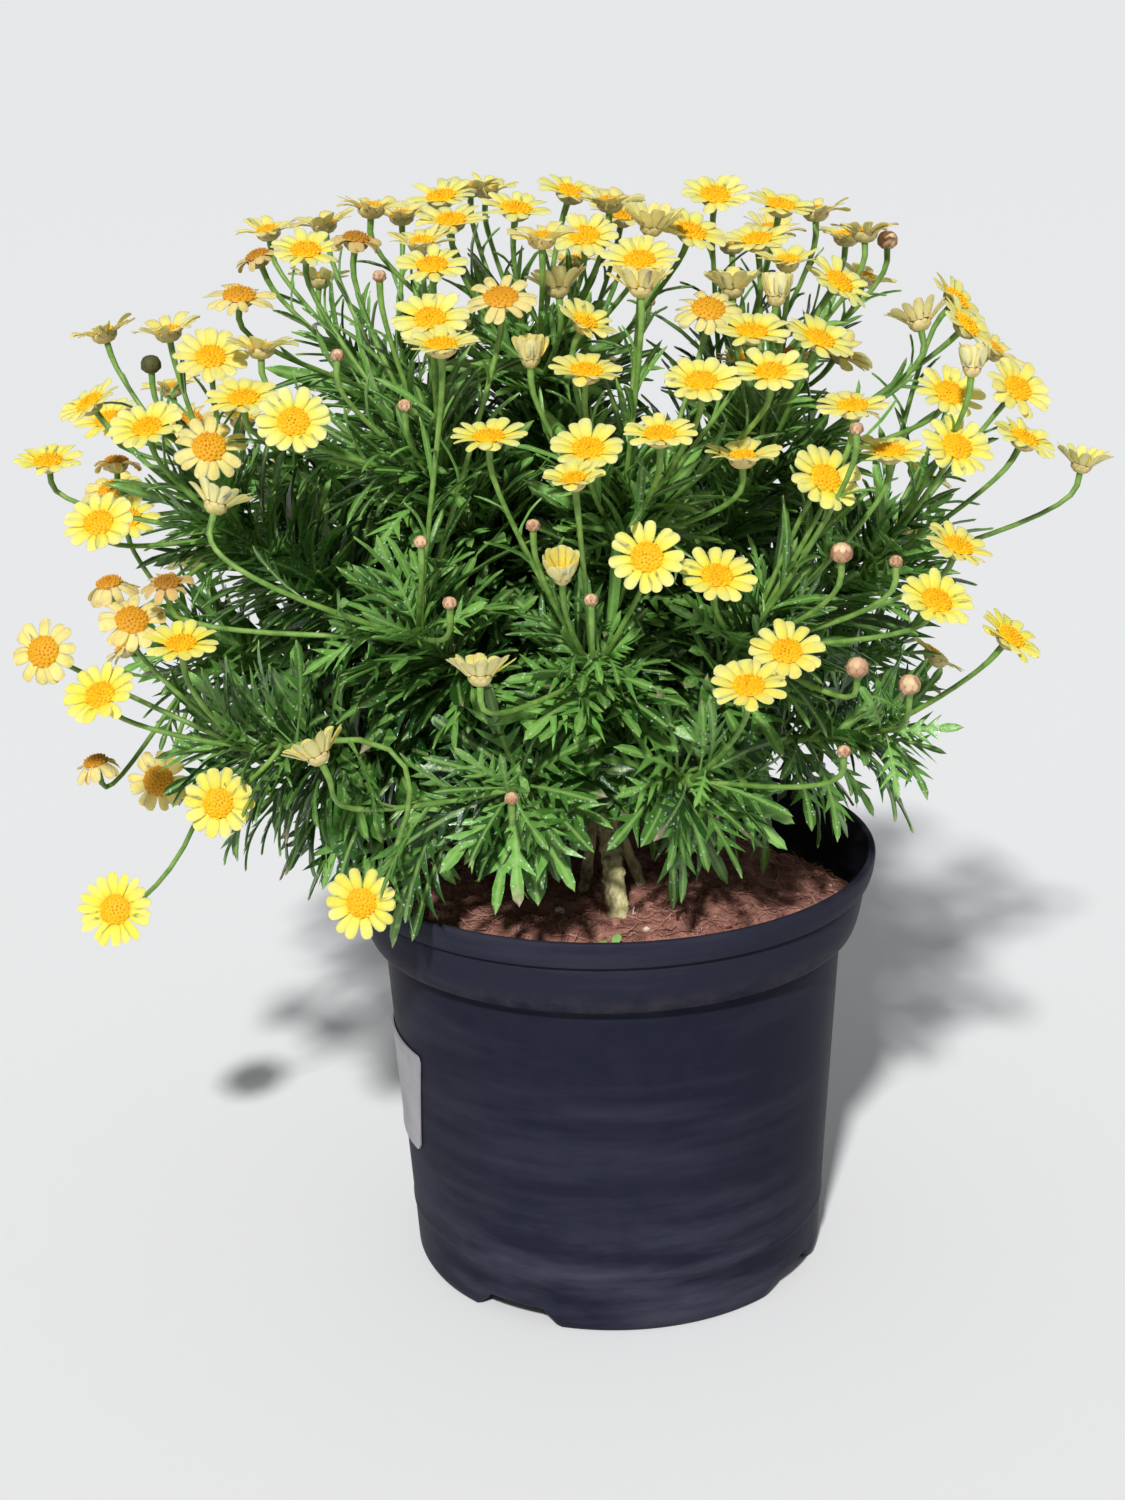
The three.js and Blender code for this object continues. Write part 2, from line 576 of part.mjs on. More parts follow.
function keepClearOf(stretches, own) {
  for (const stretch of stretches) {
    const { a, b } = stretch;
    const middle = a.clone().add(b).multiplyScalar(0.5);
    placed.push({ ...stretch, ...own, middle, reach: a.distanceTo(b) / 2 });
  }
}

// Is any of these stretches in the pot's wall or rim, or down in the soil?
function isInPot(stretches) {
  return stretches.some(({ b, radius }) => {
    const out = Math.hypot(b.x, b.y);
    const low = b.z - radius;
    const isBesideRim = Math.abs(out - pot.rim) < radius + rimRoom.aside;
    const isInRim = isBesideRim && low < pot.height + rimRoom.above;
    return isInRim || (out < pot.rim && low < soilTop.level + rimRoom.soil);
  });
}

// A flower head, built out from the last ring of its stalk: the cup of bracts, the ray
// petals as wedges with blunt tips, and the low cone of the disc. Returns its petals' middles.
function growHead(facets, ring, { kind, place, axis, fewerRays = 0 }, spin, size) {
  const { reach, rise, disc, crest } = headKinds[kind];
  const rays = headKinds[kind].rays - fewerRays;
  if (!reach) {
    const belly = facets.polygon(place, axis, disc, 5);
    facets.bridge(ring, belly, axis);
    facets.fan(belly, facets.point(place.clone().addScaledVector(axis, disc * budDepth)));
    return [];
  }
  const side = squareTo(axis).applyAxisAngle(axis, spin);
  const raised = (height) => place.clone().addScaledVector(axis, height);
  const half = petal.thickness / 2;
  const under = facets.polygon(raised(-half), axis, disc, rays, side);
  const over = facets.polygon(raised(half), axis, disc, rays, side);
  facets.bridge(ring, under, axis);
  const middles = [];
  const widening = Math.sqrt(petal.fullCount / rays) * (reach / petal.fullReach);
  const tipWidth = petal.tipWidth * size * widening;
  under.forEach((a, i) => {
    const next = (i + 1) % rays;
    const out = side.clone().applyAxisAngle(axis, ((i + 0.5) * 2 * Math.PI) / rays);
    const across = axis.clone().cross(out);
    const length = reach * size - disc * Math.cos(Math.PI / rays);
    const root = place.clone().addScaledVector(out, disc * Math.cos(Math.PI / rays));
    const tip = root.clone()
      .addScaledVector(out, length * Math.cos(radians(rise)))
      .addScaledVector(axis, length * Math.sin(radians(rise)));
    const p = facets.point(tip.clone().addScaledVector(across, -tipWidth / 2));
    const q = facets.point(tip.clone().addScaledVector(across, tipWidth / 2));
    facets.face(a, under[next], q);
    facets.face(a, q, p);
    facets.face(under[next], over[next], q);
    facets.face(over[next], over[i], p);
    facets.face(over[next], p, q);
    facets.face(over[i], a, p);
    middles.push({ a: root, b: tip, radius: tipWidth * petal.roomShare });
  });
  facets.fan(over, facets.point(raised(half + crest)));
  return middles;
}

// The stalk's way from a face of the hub to the underside of its head, bowed a little. A
// head that nods gets more places, the last of them straight under its cup.
function stalkPlaces(start, outward, head, bow) {
  const { reach, disc } = headKinds[head.kind];
  const depth = reach ? peduncle.involucre : disc * budDepth;
  const end = head.place.clone().addScaledVector(head.axis, -depth);
  const bend = (head.axis.angleTo(end.clone().sub(start)) * 180) / Math.PI;
  const isBowed = bow.lengthSq() > 0;
  if (bend < peduncle.bends[0] && !isBowed && !head.halfway) return [start, end];
  const neck = end.clone().addScaledVector(head.axis, -peduncle.neck);
  if (head.halfway && !isBowed) {
    const last = neck.clone().addScaledVector(head.axis, -peduncle.hookLength);
    const first = head.halfway.clone().multiplyScalar(8).sub(start).sub(neck).divideScalar(3).sub(last);
    return [...new THREE.CubicBezierCurve3(start, first, last, neck).getPoints(4), end];
  }
  const path = new THREE.CubicBezierCurve3(
    start,
    start.clone().addScaledVector(outward, peduncle.hubLength).add(bow),
    neck.clone().addScaledVector(head.axis, -peduncle.headLength).addScaledVector(bow, 1.5),
    neck,
  );
  const parts = peduncle.bends.filter((least) => bend > least).length;
  return [...path.getPoints(isBowed ? Math.max(parts, 2) : parts), end];
}

// The hub of a spray: the twenty small faces round a shoot's tip, each a ring to grow from.
function hubFaces(facets, tip) {
  const corners = new THREE.IcosahedronGeometry(shoot.hub, 0).getAttribute("position");
  const seen = new Map();
  const corner = (i) => {
    const p = vector(corners.getX(i), corners.getY(i), corners.getZ(i));
    const key = p.toArray().map((v) => v.toFixed(3)).join();
    if (!seen.has(key)) seen.set(key, facets.point(p.add(tip)));
    return seen.get(key);
  };
  return Array.from({ length: corners.count / 3 }, (_, i) => {
    const ring = [corner(3 * i), corner(3 * i + 1), corner(3 * i + 2)];
    const start = facets.middle(ring);
    return { ring, start, outward: start.clone().sub(tip).normalize() };
  });
}

// Gives each head of a spray the hub face that suits it, so that no two stalks cross.
function matchFaces(heads, faces, tip) {
  const away = heads.map((head) => head.place.clone().sub(tip).normalize());
  const order = faces.map((_, i) => i);
  const fit = (i, j) => (i < heads.length ? away[i].dot(faces[order[j]].outward) : 0);
  for (let isBetter = true; isBetter; ) {
    isBetter = false;
    for (let i = 0; i < heads.length; i++) {
      for (let j = i + 1; j < faces.length; j++) {
        if (fit(i, j) + fit(j, i) <= fit(i, i) + fit(j, j) + 1e-6) continue;
        [order[i], order[j]] = [order[j], order[i]];
        isBetter = true;
      }
    }
  }
  return order.map((k) => faces[k]);
}

// The first way for a stalk that touches nothing, or else the one with the most room.
function chooseStalk({ start, outward }, head, own) {
  const away = head.place.clone().sub(start).normalize();
  const side = squareTo(away);
  const aside = stalkTrials.bows.flatMap((far) => stalkTrials.turns.map((turn) => [far, turn]));
  let best = null;
  for (const [far, turn] of [[0, 0], ...aside]) {
    const bow = side.clone().applyAxisAngle(away, radians(turn)).multiplyScalar(far);
    const places = stalkPlaces(start, outward, head, bow);
    const stretches = places.slice(1).map((b, k) => ({ a: places[k], b, radius: peduncle.radius }));
    const first = places[1].clone().sub(start).normalize();
    const near = start.clone().addScaledVector(first, peduncle.slimFrom);
    const free = start.clone().addScaledVector(first, peduncle.fullFrom);
    stretches[0].a = free;
    stretches.at(-1).b = places.at(-1).clone().lerp(places.at(-2), 0.1);
    stretches.push({ a: near, b: free, radius: peduncle.slim, isInner: true });
    const room = roomAround(stretches, own);
    if (!best || room > best.room) best = { room, places, stretches };
    if (room > fusing) break;
  }
  return best;
}

// The first turn and size of a head that touches nothing, or else the one with the most room.
function chooseHead(ring, head, own) {
  const disc = {
    a: head.place.clone().addScaledVector(head.axis, -2),
    b: head.place.clone().addScaledVector(head.axis, 1),
    radius: headKinds[head.kind].disc,
  };
  let best = null;
  for (const size of headTrials.sizes) {
    for (const spin of headTrials.spins.map(radians)) {
      const trial = new Facets();
      const stretches = [...growHead(trial, trial.ring(ring), head, spin, size), disc];
      const room = roomAround(stretches, own);
      if (!best || room > best.room) best = { room, size, spin, stretches };
      if (room > fusing) return best;
    }
  }
  return best;
}

// Walls of a stalk from its first ring on. Returns the ring under the head.
function growStalk(facets, first, places, axis) {
  return places.slice(1).reduce((ring, place, k) => {
    const isLast = k === places.length - 2;
    const along = isLast ? axis : places[k + 2].clone().sub(places[k]).normalize();
    const next = facets.follow(ring, place, along, peduncle.radius);
    facets.wall(ring, next);
    return next;
  }, first);
}

// A spray: stalks that grow from the faces of a small hub at the shoot's tip, each with its
// head. What would touch something already there is bowed aside, turned or made smaller, and
// a head that still touches one of its own spray is closed by itself and fused to the rest.
function makeSpray({ direction, tip, heads }, index) {
  const own = { spray: index };
  const facets = new Facets();
  const faces = matchFaces(heads, hubFaces(facets, tip), tip);
  const fused = [];
  heads.forEach((head, i) => {
    const face = faces[i];
    const corners = face.ring.map((k) => facets.points[k]);
    const way = chooseStalk(face, head, own);
    const { spin, size, room, stretches } = chooseHead(corners, head, own);
    const isFused = Math.min(way.room, room) < fusing;
    const body = isFused ? new Facets() : facets;
    let first = face.ring;
    if (isFused) {
      first = body.ring(corners.map((p) => p.clone().lerp(tip, peduncle.fusedDepth)));
      body.cap(first, true);
      facets.face(...face.ring);
    }
    growHead(body, growStalk(body, first, way.places, head.axis), head, spin, size);
    if (isFused) fused.push(body.solid());
    keepClearOf([...way.stretches, ...stretches], own);
  });
  faces.slice(heads.length).forEach(({ ring }) => facets.face(...ring));
  keepClearOf([{ a: tip, b: tip.clone().add(direction), radius: shoot.hub }], own);
  return fused.reduce((spray, each) => spray.add(each), facets.solid());
}

// Places along a leaf's rib, which starts in a direction and sags under its own weight.
function ribPlaces(start, direction, sag, size) {
  const places = [];
  const side = direction.clone().cross(up).normalize();
  let at = start.clone();
  let last = 0;
  for (const length of leaf.lengths) {
    const middle = ((last + length) / 2) * size;
    const bent = -radians(sag) * (middle / leaf.sagLength);
    const along = direction.clone().applyAxisAngle(side, bent);
    at = at.clone().addScaledVector(along, (length - last) * size);
    places.push({ at, along });
    last = length;
  }
  return { places, side };
}

// A leaf: an arched rib of three-cornered section, pointed at both ends, with two pairs of
// pointed lobes. Returns its solid and the stretches that it takes up.
function makeLeaf(start, direction, sag, size) {
  const facets = new Facets();
  const { places, side } = ribPlaces(start, direction, sag, size);
  const rings = leaf.halfWidths.map((halfWidth, k) => {
    const { at, along } = places[k + 1];
    const over = side.clone().cross(along).normalize();
    return facets.ring([
      at.clone().addScaledVector(side, -halfWidth * size),
      at.clone().addScaledVector(side, halfWidth * size),
      at.clone().addScaledVector(over, -leaf.keels[k]),
    ]);
  });
  const stretches = [1, 2, 3, 4].map((k) => (
    { a: places[k - 1].at, b: places[k].at, radius: leaf.ribRoom * size }));
  facets.fan([...rings[0]].reverse(), facets.point(places[0].at));
  for (const k of [0, 1]) {
    const [l, r, keel] = rings[k];
    const [l2, r2, keel2] = rings[k + 1];
    const { at, along } = places[k + 1];
    const over = side.clone().cross(along).normalize();
    const forward = (leaf.lobeAlong[k] - leaf.lengths[k + 1]) * size;
    const lobe = (sign) => at.clone()
      .addScaledVector(along, forward)
      .addScaledVector(side, sign * leaf.lobeAside[k] * size)
      .addScaledVector(over, -leaf.lobeDrop);
    const [right, left] = [lobe(1), lobe(-1)];
    facets.face(l, r, r2);
    facets.face(l, r2, l2);
    facets.fan([r, keel, keel2, r2], facets.point(right));
    facets.fan([keel, l, l2, keel2], facets.point(left));
    const root = at.clone().lerp(places[k + 2].at, 0.5);
    const radius = leaf.lobeRoom * size;
    stretches.push({ a: root, b: right, radius }, { a: root, b: left, radius });
  }
  facets.fan(rings[2], facets.point(places[4].at));
  return { solid: facets.solid(), stretches };
}

// Where the leaves sit on a shoot's core: share of the way along it, which of its faces,
// angle from its axis, and length beside a full leaf.
const leafSeats = [
  { share: 0.42, face: 0, out: 75, size: 1 }, { share: 0.42, face: 2, out: 75, size: 1.05 },
  { share: 0.68, face: 1, out: 62, size: 1.1 }, { share: 0.68, face: 4, out: 62, size: 1.05 },
  { share: 0.88, face: 0, out: 42, size: 0.95 }, { share: 0.88, face: 2, out: 45, size: 0.9 },
];

// Share of the way along a shoot's core and how full it is there, beside its widest cone.
const coreGirths = [[0, 0], [0.36, 0.8], [0.74, 0.95], [1, 0]];

function coreRing({ direction, length }, [share, fullness]) {
  const end = length - shoot.hub - 2 * seam;
  const along = limb.length + (end - limb.length) * share;
  return {
    centre: crown.clone().addScaledVector(direction, along),
    radius: fullness ? fullness * shoot.girth * along : shoot.neck,
  };
}

// A core as thick stretches between its rings, as wide as their mean and drawn in at both
// ends, and a round one at each of its wide rings.
function coreStretches(each) {
  const rings = coreGirths.map((girth) => coreRing(each, girth));
  const between = rings.slice(1).map(({ centre, radius }, k) => ({
    a: rings[k].centre.clone().lerp(centre, 0.3),
    b: centre.clone().lerp(rings[k].centre, 0.1),
    radius: Math.min(radius, rings[k].radius) * 0.5 + Math.max(radius, rings[k].radius) * 0.45,
  }));
  const wide = rings.slice(1, -1).map(({ centre, radius }) => ({
    a: centre, b: centre.clone().add(each.direction), radius,
  }));
  return [...between, ...wide];
}

// A leafy shoot: a slim many-sided core of packed young leaves round its stem, and the
// outer leaves that stand out of it, each bent clear of everything round it.
function makeLeafyShoot(each, index) {
  const facets = new Facets();
  const side = squareTo(each.direction).applyAxisAngle(each.direction, index * 1.1);
  const rings = coreGirths.map((girth) => {
    const { centre, radius } = coreRing(each, girth);
    return facets.polygon(centre, each.direction, radius, shoot.sides, side);
  });
  let solid = facets.tube(rings).solid();
  for (const seat of leafSeats) {
    const grown = placeLeaf(index, each, side, seat);
    if (grown) solid = solid.add(grown);
  }
  return solid;
}

// Sets a leaf in the middle of a face of the core, and bends it until it touches nothing.
function placeLeaf(index, each, side, seat) {
  const { direction } = each;
  const k = coreGirths.findIndex(([share]) => share > seat.share);
  const [low, high] = [coreGirths[k - 1], coreGirths[k]];
  const blend = (seat.share - low[0]) / (high[0] - low[0]);
  const [from, to] = [coreRing(each, low), coreRing(each, high)];
  const flat = THREE.MathUtils.lerp(from.radius, to.radius, blend) * Math.cos(Math.PI / shoot.sides);
  const turn = ((seat.face + 0.5) * 2 * Math.PI) / shoot.sides;
  const outward = side.clone().applyAxisAngle(direction, turn);
  const seatPlace = from.centre.clone().lerp(to.centre, blend).addScaledVector(outward, flat);
  for (const size of leafTrials.sizes) {
    for (const swing of leafTrials.swings) {
      for (const lean of leafTrials.leans) {
        const way = outward.clone().applyAxisAngle(direction, radians(swing));
        const angle = radians(seat.out + lean);
        const aim = direction.clone().multiplyScalar(Math.cos(angle))
          .addScaledVector(way, Math.sin(angle));
        const start = seatPlace.clone().addScaledVector(aim, -leaf.sink);
        const sag = leaf.sag + leaf.sideSag * (1 - direction.z);
        const made = makeLeaf(start, aim, sag, seat.size * size);
        const [root, ...reaching] = made.stretches;
        reaching.push({ ...root, a: root.a.clone().lerp(root.b, 0.3) });
        if (isInPot(made.stretches) || roomAround(reaching, { core: index }) < clearance) continue;
        keepClearOf(reaching, {});
        return made.solid;
      }
    }
  }
  return null;
}

const shoots = layOutShoots();
const plant = new THREE.Group();
const number = (i) => String(i + 1).padStart(2, "0");

plant.add(meshOf("pot", makePot(), colours.pot, 0.45));
plant.add(meshOf("label", makeLabel(), colours.label, 0.6));
plant.add(meshOf("soil", makeSoil(stemsInSoil(seam)), colours.soil, 0.95));
plant.add(meshOf("woody_base", makeWoodyBase(shoots), colours.wood, 0.8));

shoots.forEach((each, i) => keepClearOf(coreStretches(each), { core: i }));
shoots.forEach((each, i) => {
  if (each.heads.length)
    plant.add(meshOf(`flower_spray_${number(i)}`, makeSpray(each, i), colours.flower, 0.6));
});
shoots.forEach((each, i) => {
  plant.add(meshOf(`leafy_shoot_${number(i)}`, makeLeafyShoot(each, i), colours.leaf, 0.5));
});

export default plant;
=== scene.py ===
import math

import bpy
import numpy as np
from mathutils import Matrix, Vector


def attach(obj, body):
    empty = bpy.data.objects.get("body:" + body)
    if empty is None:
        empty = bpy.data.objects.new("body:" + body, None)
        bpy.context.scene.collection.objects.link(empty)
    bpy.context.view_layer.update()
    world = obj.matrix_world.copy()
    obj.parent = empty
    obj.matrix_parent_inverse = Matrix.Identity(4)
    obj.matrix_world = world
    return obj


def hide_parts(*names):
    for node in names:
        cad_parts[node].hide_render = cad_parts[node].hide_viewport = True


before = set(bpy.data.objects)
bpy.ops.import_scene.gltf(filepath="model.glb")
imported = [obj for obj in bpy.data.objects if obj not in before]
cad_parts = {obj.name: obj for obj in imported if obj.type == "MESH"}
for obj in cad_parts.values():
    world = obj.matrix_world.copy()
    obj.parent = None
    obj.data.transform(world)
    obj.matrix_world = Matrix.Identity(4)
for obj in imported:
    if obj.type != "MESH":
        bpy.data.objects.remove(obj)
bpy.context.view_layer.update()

# The nursery pot: one thin shell of black plastic, moulded in one shot, with a stepped lip, a
# wide collar and a raised floor. One profile is carried round the axis, and the standing edge
# is lifted where a drain notch comes.
MILLIMETRE = 0.001
pot_profile = np.array([  # radius, height, rounding
    [0, 0, 0], [20, 0, 0.8], [22, 7, 0.8], [78, 7, 0.4], [79.5, 0, 0.4], [84, 0, 1.2],
    [86.5, 4, 2], [87.7, 24, 0.6], [88.2, 25, 0.5], [88.3, 27, 0.5], [88.05, 28.2, 0.5],
    [95.4, 143, 4], [95.2, 147, 0.4], [101.2, 148.4, 0.9], [102.5, 151.2, 2], [103.8, 156, 4],
    [106, 168, 1], [105.4, 169.5, 0.3], [107.9, 170, 0.5], [109.3, 174, 1], [110, 179.6, 1],
    [109.4, 181, 0.7], [107.2, 181, 0.7], [106.6, 178, 1], [103.8, 167, 1], [101, 156, 3],
    [98.4, 151.6, 2], [93.7, 148.4, 2], [92.8, 139, 3], [85.2, 12, 2], [83, 9.5, 2], [0, 9.5, 0],
])
pot_sides = 216
notch_turns = np.array([-31, 59, 149, 239])
notch_half, notch_slope, notch_lift, notch_reach, foot_inside = 11.2, 4.5, 7.4, 13, 78.5


def rounded(corners, steps=4):
    """A profile whose corners are short curves: from A, the rounding's length before the corner P,
    to B, as far behind it, along (1-t)² A + 2t(1-t) P + t² B."""
    place, reach = corners[:, :2], corners[:, 2:]
    back, ahead = np.roll(place, 1, 0) - place, np.roll(place, -1, 0) - place
    far_back = np.linalg.norm(back, axis=1, keepdims=True)
    far_ahead = np.linalg.norm(ahead, axis=1, keepdims=True)
    start = place + back / far_back * np.minimum(reach, far_back * 0.45)
    end = place + ahead / far_ahead * np.minimum(reach, far_ahead * 0.45)
    t = np.linspace(0, 1, steps)[:, None]
    curves = [(1 - t) ** 2 * a + 2 * t * (1 - t) * p + t**2 * b
              for a, p, b in zip(start[1:-1], place[1:-1], end[1:-1])]
    return np.concatenate([place[:1], *curves, place[-1:]])


def xyz(x, y, z):
    """Points from their three coordinates, each an array or a number."""
    return np.stack(np.broadcast_arrays(x, y, z), -1)


def carried_round(profile, sides):
    """Rings of a profile of (radius, height): x = r cos a, y = r sin a, z = height."""
    angle = np.linspace(0, 2 * np.pi, sides, endpoint=False)
    return xyz(profile[:, :1] * np.cos(angle), profile[:, :1] * np.sin(angle), profile[:, 1:])


def tubes(rings, ends, material=0, **marks):
    """Closed skins through rings of points, an array of (copy, ring, corner, xyz), each shut by a
    fan to its two end points. Rings run anticlockwise seen from the far end. The material is its
    place in the piece's list. A mark is a number for each corner, or for each ring or copy; an
    end point takes its ring's mean."""
    copies, rows, corners = rings.shape[:3]
    size = rows * corners + 2
    row, corner = np.meshgrid(np.arange(rows - 1), np.arange(corners), indexing="ij")
    beside = (corner + 1) % corners
    walls = np.stack([row * corners + corner, row * corners + beside,
                      (row + 1) * corners + beside, (row + 1) * corners + corner], -1)
    here = np.arange(corners)
    there = (here + 1) % corners
    last = (rows - 1) * corners
    fans = np.concatenate([
        np.stack([there, here, np.full(corners, size - 2)], -1),
        np.stack([last + here, last + there, np.full(corners, size - 1)], -1)])
    shift = (np.arange(copies) * size)[:, None, None]
    found = {}
    for name, value in marks.items():
        value = np.broadcast_to(value, rings.shape[:3])
        tips = np.stack([value[:, 0].mean(-1), value[:, -1].mean(-1)], -1)
        found[name] = np.concatenate([value.reshape(copies, -1), tips], 1).ravel()
    return {"points": np.concatenate([rings.reshape(copies, -1, 3), ends], 1).reshape(-1, 3),
            "faces": [(walls.reshape(1, -1, 4) + shift).reshape(-1, 4),
                      (fans[None] + shift).reshape(-1, 3)],
            "marks": found, "material": material}


def make_piece(name, skins, materials, nodes, crease=50):
    """One object from skins, with its place in its mesh. It stands for the named CAD nodes."""
    mesh = bpy.data.meshes.new(name)
    points = np.concatenate([skin["points"] for skin in skins]) * MILLIMETRE
    first, corners, sizes, finishes = 0, [], [], []
    for skin in skins:
        for faces in skin["faces"]:
            corners.append((faces + first).ravel())
            sizes.append(np.full(len(faces), faces.shape[1]))
            finishes.append(np.full(len(faces), skin["material"]))
        first += len(skin["points"])
    sizes = np.concatenate(sizes)
    mesh.vertices.add(len(points))
    mesh.vertices.foreach_set("co", points.ravel())
    mesh.loops.add(int(sizes.sum()))
    mesh.loops.foreach_set("vertex_index", np.concatenate(corners))
    mesh.polygons.add(len(sizes))
    mesh.polygons.foreach_set("loop_start", np.cumsum(sizes) - sizes)
    mesh.polygons.foreach_set("material_index", np.concatenate(finishes))
    for label in sorted({label for skin in skins for label in skin["marks"]}):
        values = [skin["marks"].get(label, np.zeros(len(skin["points"]))) for skin in skins]
        attribute = mesh.attributes.new(label, "FLOAT", "POINT")
        attribute.data.foreach_set("value", np.concatenate(values).astype(np.float32))
    mesh.update(calc_edges=True)
    mesh.shade_smooth()
    mesh.set_sharp_from_angle(angle=math.radians(crease))
    for material in materials:
        mesh.materials.append(material)
    piece = bpy.data.objects.new(name, mesh)
    bpy.context.scene.collection.objects.link(piece)
    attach(piece, "root")
    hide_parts(*nodes)


def turn_of(x, y):
    """Degrees round the axis, 0 towards the front and positive to the right."""
    return np.degrees(np.arctan2(x, -y))


def notched(rings):
    """Lifts the standing edge: beside a notch's middle a low point rises by the notch's depth,
    and less the higher it lies, down to nothing where the wall is whole."""
    x, y, z = np.moveaxis(rings, -1, 0)
    off = np.abs((turn_of(x, y)[..., None] - notch_turns + 180) % 360 - 180).min(-1)
    depth = notch_lift * np.clip((notch_half + notch_slope / 2 - off) / notch_slope, 0, 1)
    fade = np.clip(1 - z / notch_reach, 0, 1)
    return rings + xyz(0, 0, np.where(np.hypot(x, y) > foot_inside, depth * fade, 0))


def fill(node, tree, values):
    """Links each input to a socket or sets it to a value. A colour is given without its alpha."""
    for key, value in dict(values).items():
        socket = node.inputs[key]
        if isinstance(value, bpy.types.NodeSocket):
            tree.links.new(value, socket)
        else:
            socket.default_value = (*value, 1) if socket.type == "RGBA" else value
    return node


def add_node(tree, kind, values=(), **settings):
    """A node of a kind, with its settings made before its inputs are filled."""
    node = tree.nodes.new("ShaderNode" + kind)
    for key, value in settings.items():
        setattr(node, key, value)
    return fill(node, tree, values)


def maths(operation, first, second=0.0):
    """A sum, product or the like of a socket and a second socket or number."""
    return add_node(first.id_data, "Math", {0: first, 1: second}, operation=operation).outputs[0]


def times(first, second):
    """The product of a socket and a second socket or number."""
    return maths("MULTIPLY", first, second)


def spread(value, low, high, to_low=0.0, to_high=1.0):
    """A value carried from one range to another and held within it."""
    return add_node(value.id_data, "MapRange", {
        "Value": value, "From Min": low, "From Max": high, "To Min": to_low,
        "To Max": to_high}).outputs["Result"]


def blend(share, first, second):
    """The first colour at share 0, the second at share 1."""
    return add_node(share.id_data, "Mix", {0: share, 6: first, 7: second}, data_type="RGBA").outputs[2]


def marks_on(tree, *names):
    """The values that a mesh carries at each point under these names."""
    return [add_node(tree, "Attribute", attribute_name=name).outputs["Fac"] for name in names]


def new_group(name, inputs, outputs):
    """A shader node group, its inputs with their kinds and starting values, its outputs with
    their kinds. Returns the group, its input sockets and its end node."""
    group = bpy.data.node_groups.new(name, "ShaderNodeTree")
    for label, (kind, value) in inputs.items():
        socket = group.interface.new_socket(label, in_out="INPUT", socket_type="NodeSocket" + kind)
        socket.default_value = (*value, 1) if kind == "Color" else value
    for label, kind in outputs.items():
        group.interface.new_socket(label, in_out="OUTPUT", socket_type="NodeSocket" + kind)
    return group, group.nodes.new("NodeGroupInput").outputs, group.nodes.new("NodeGroupOutput")


def put_group(tree, group, values):
    """Places a node group in a material with its own values."""
    node = tree.nodes.new("ShaderNodeGroup")
    node.node_tree = group
    return fill(node, tree, values)


def new_material(name, values):
    """A material with a Principled shader and its plain values. Returns both and the tree."""
    material = bpy.data.materials.new(name)
    material.use_nodes = True
    shader = material.node_tree.nodes["Principled BSDF"]
    return material, material.node_tree, fill(shader, material.node_tree, values)


def cloud(tree, source, **values):
    """Noise on the object's own coordinates, which are first drawn out along any axis."""
    place = add_node(tree, "TexCoord").outputs["Object"]
    drawn = add_node(tree, "VectorMath", {0: place, 1: source["Stretch"]}, operation="MULTIPLY")
    return add_node(tree, "TexNoise", {"Vector": drawn.outputs["Vector"], "Scale": source["Scale"],
                                       **values}).outputs["Fac"]


# Uneven patches: 0 where the noise is below a low level, 1 where it is above a high one.
patches, source, result = new_group(
    "patches", {"Scale": ("Float", 20.0), "Stretch": ("Vector", (1, 1, 1)), "Detail": ("Float", 5.0),
                "Low": ("Float", 0.4), "High": ("Float", 0.6)}, {"Mask": "Float"})
fill(result, patches, {"Mask": spread(cloud(patches, source, Detail=source["Detail"], Roughness=0.6),
                                      source["Low"], source["High"])})

# Fine relief: the same kind of noise as a bump, on top of a height that the material gives.
relief, source, result = new_group(
    "fine_relief",
    {"Scale": ("Float", 400.0), "Stretch": ("Vector", (1, 1, 1)), "Height": ("Float", 0.0),
     "Strength": ("Float", 0.4), "Depth": ("Float", 0.0005)}, {"Normal": "Vector"})
height = maths("ADD", cloud(relief, source, Detail=4.0), source["Height"])
bump = add_node(relief, "Bump", {"Height": height, "Strength": source["Strength"],
                                 "Distance": source["Depth"]})
fill(result, relief, {"Normal": bump.outputs["Normal"]})


def patchy(tree, scale, low, high, **values):
    """The mask of uneven patches, placed in a tree with its own values."""
    return put_group(tree, patches, {"Scale": scale, "Low": low, "High": high, **values}).outputs["Mask"]


def bumpy(tree, scale, **values):
    """The normal of fine relief, placed in a tree with its own values."""
    return put_group(tree, relief, {"Scale": scale, **values}).outputs["Normal"]


# Settled dust: lies in patches, and more where a surface looks up.
dust, source, result = new_group(
    "settled_dust", {"Colour": ("Color", (0.1, 0.1, 0.1)), "Dust": ("Color", (0.3, 0.25, 0.2)),
                     "Amount": ("Float", 0.3), "Scale": ("Float", 60.0)},
    {"Colour": "Color", "Mask": "Float"})
facing = add_node(dust, "SeparateXYZ", {0: add_node(dust, "NewGeometry").outputs["Normal"]})
looks_up = spread(facing.outputs["Z"], -0.2, 0.8, 0.25, 1.0)
amount = times(times(looks_up, patchy(dust, source["Scale"], 0.35, 0.75)), source["Amount"])
fill(result, dust, {"Mask": amount, "Colour": blend(amount, source["Colour"], source["Dust"])})

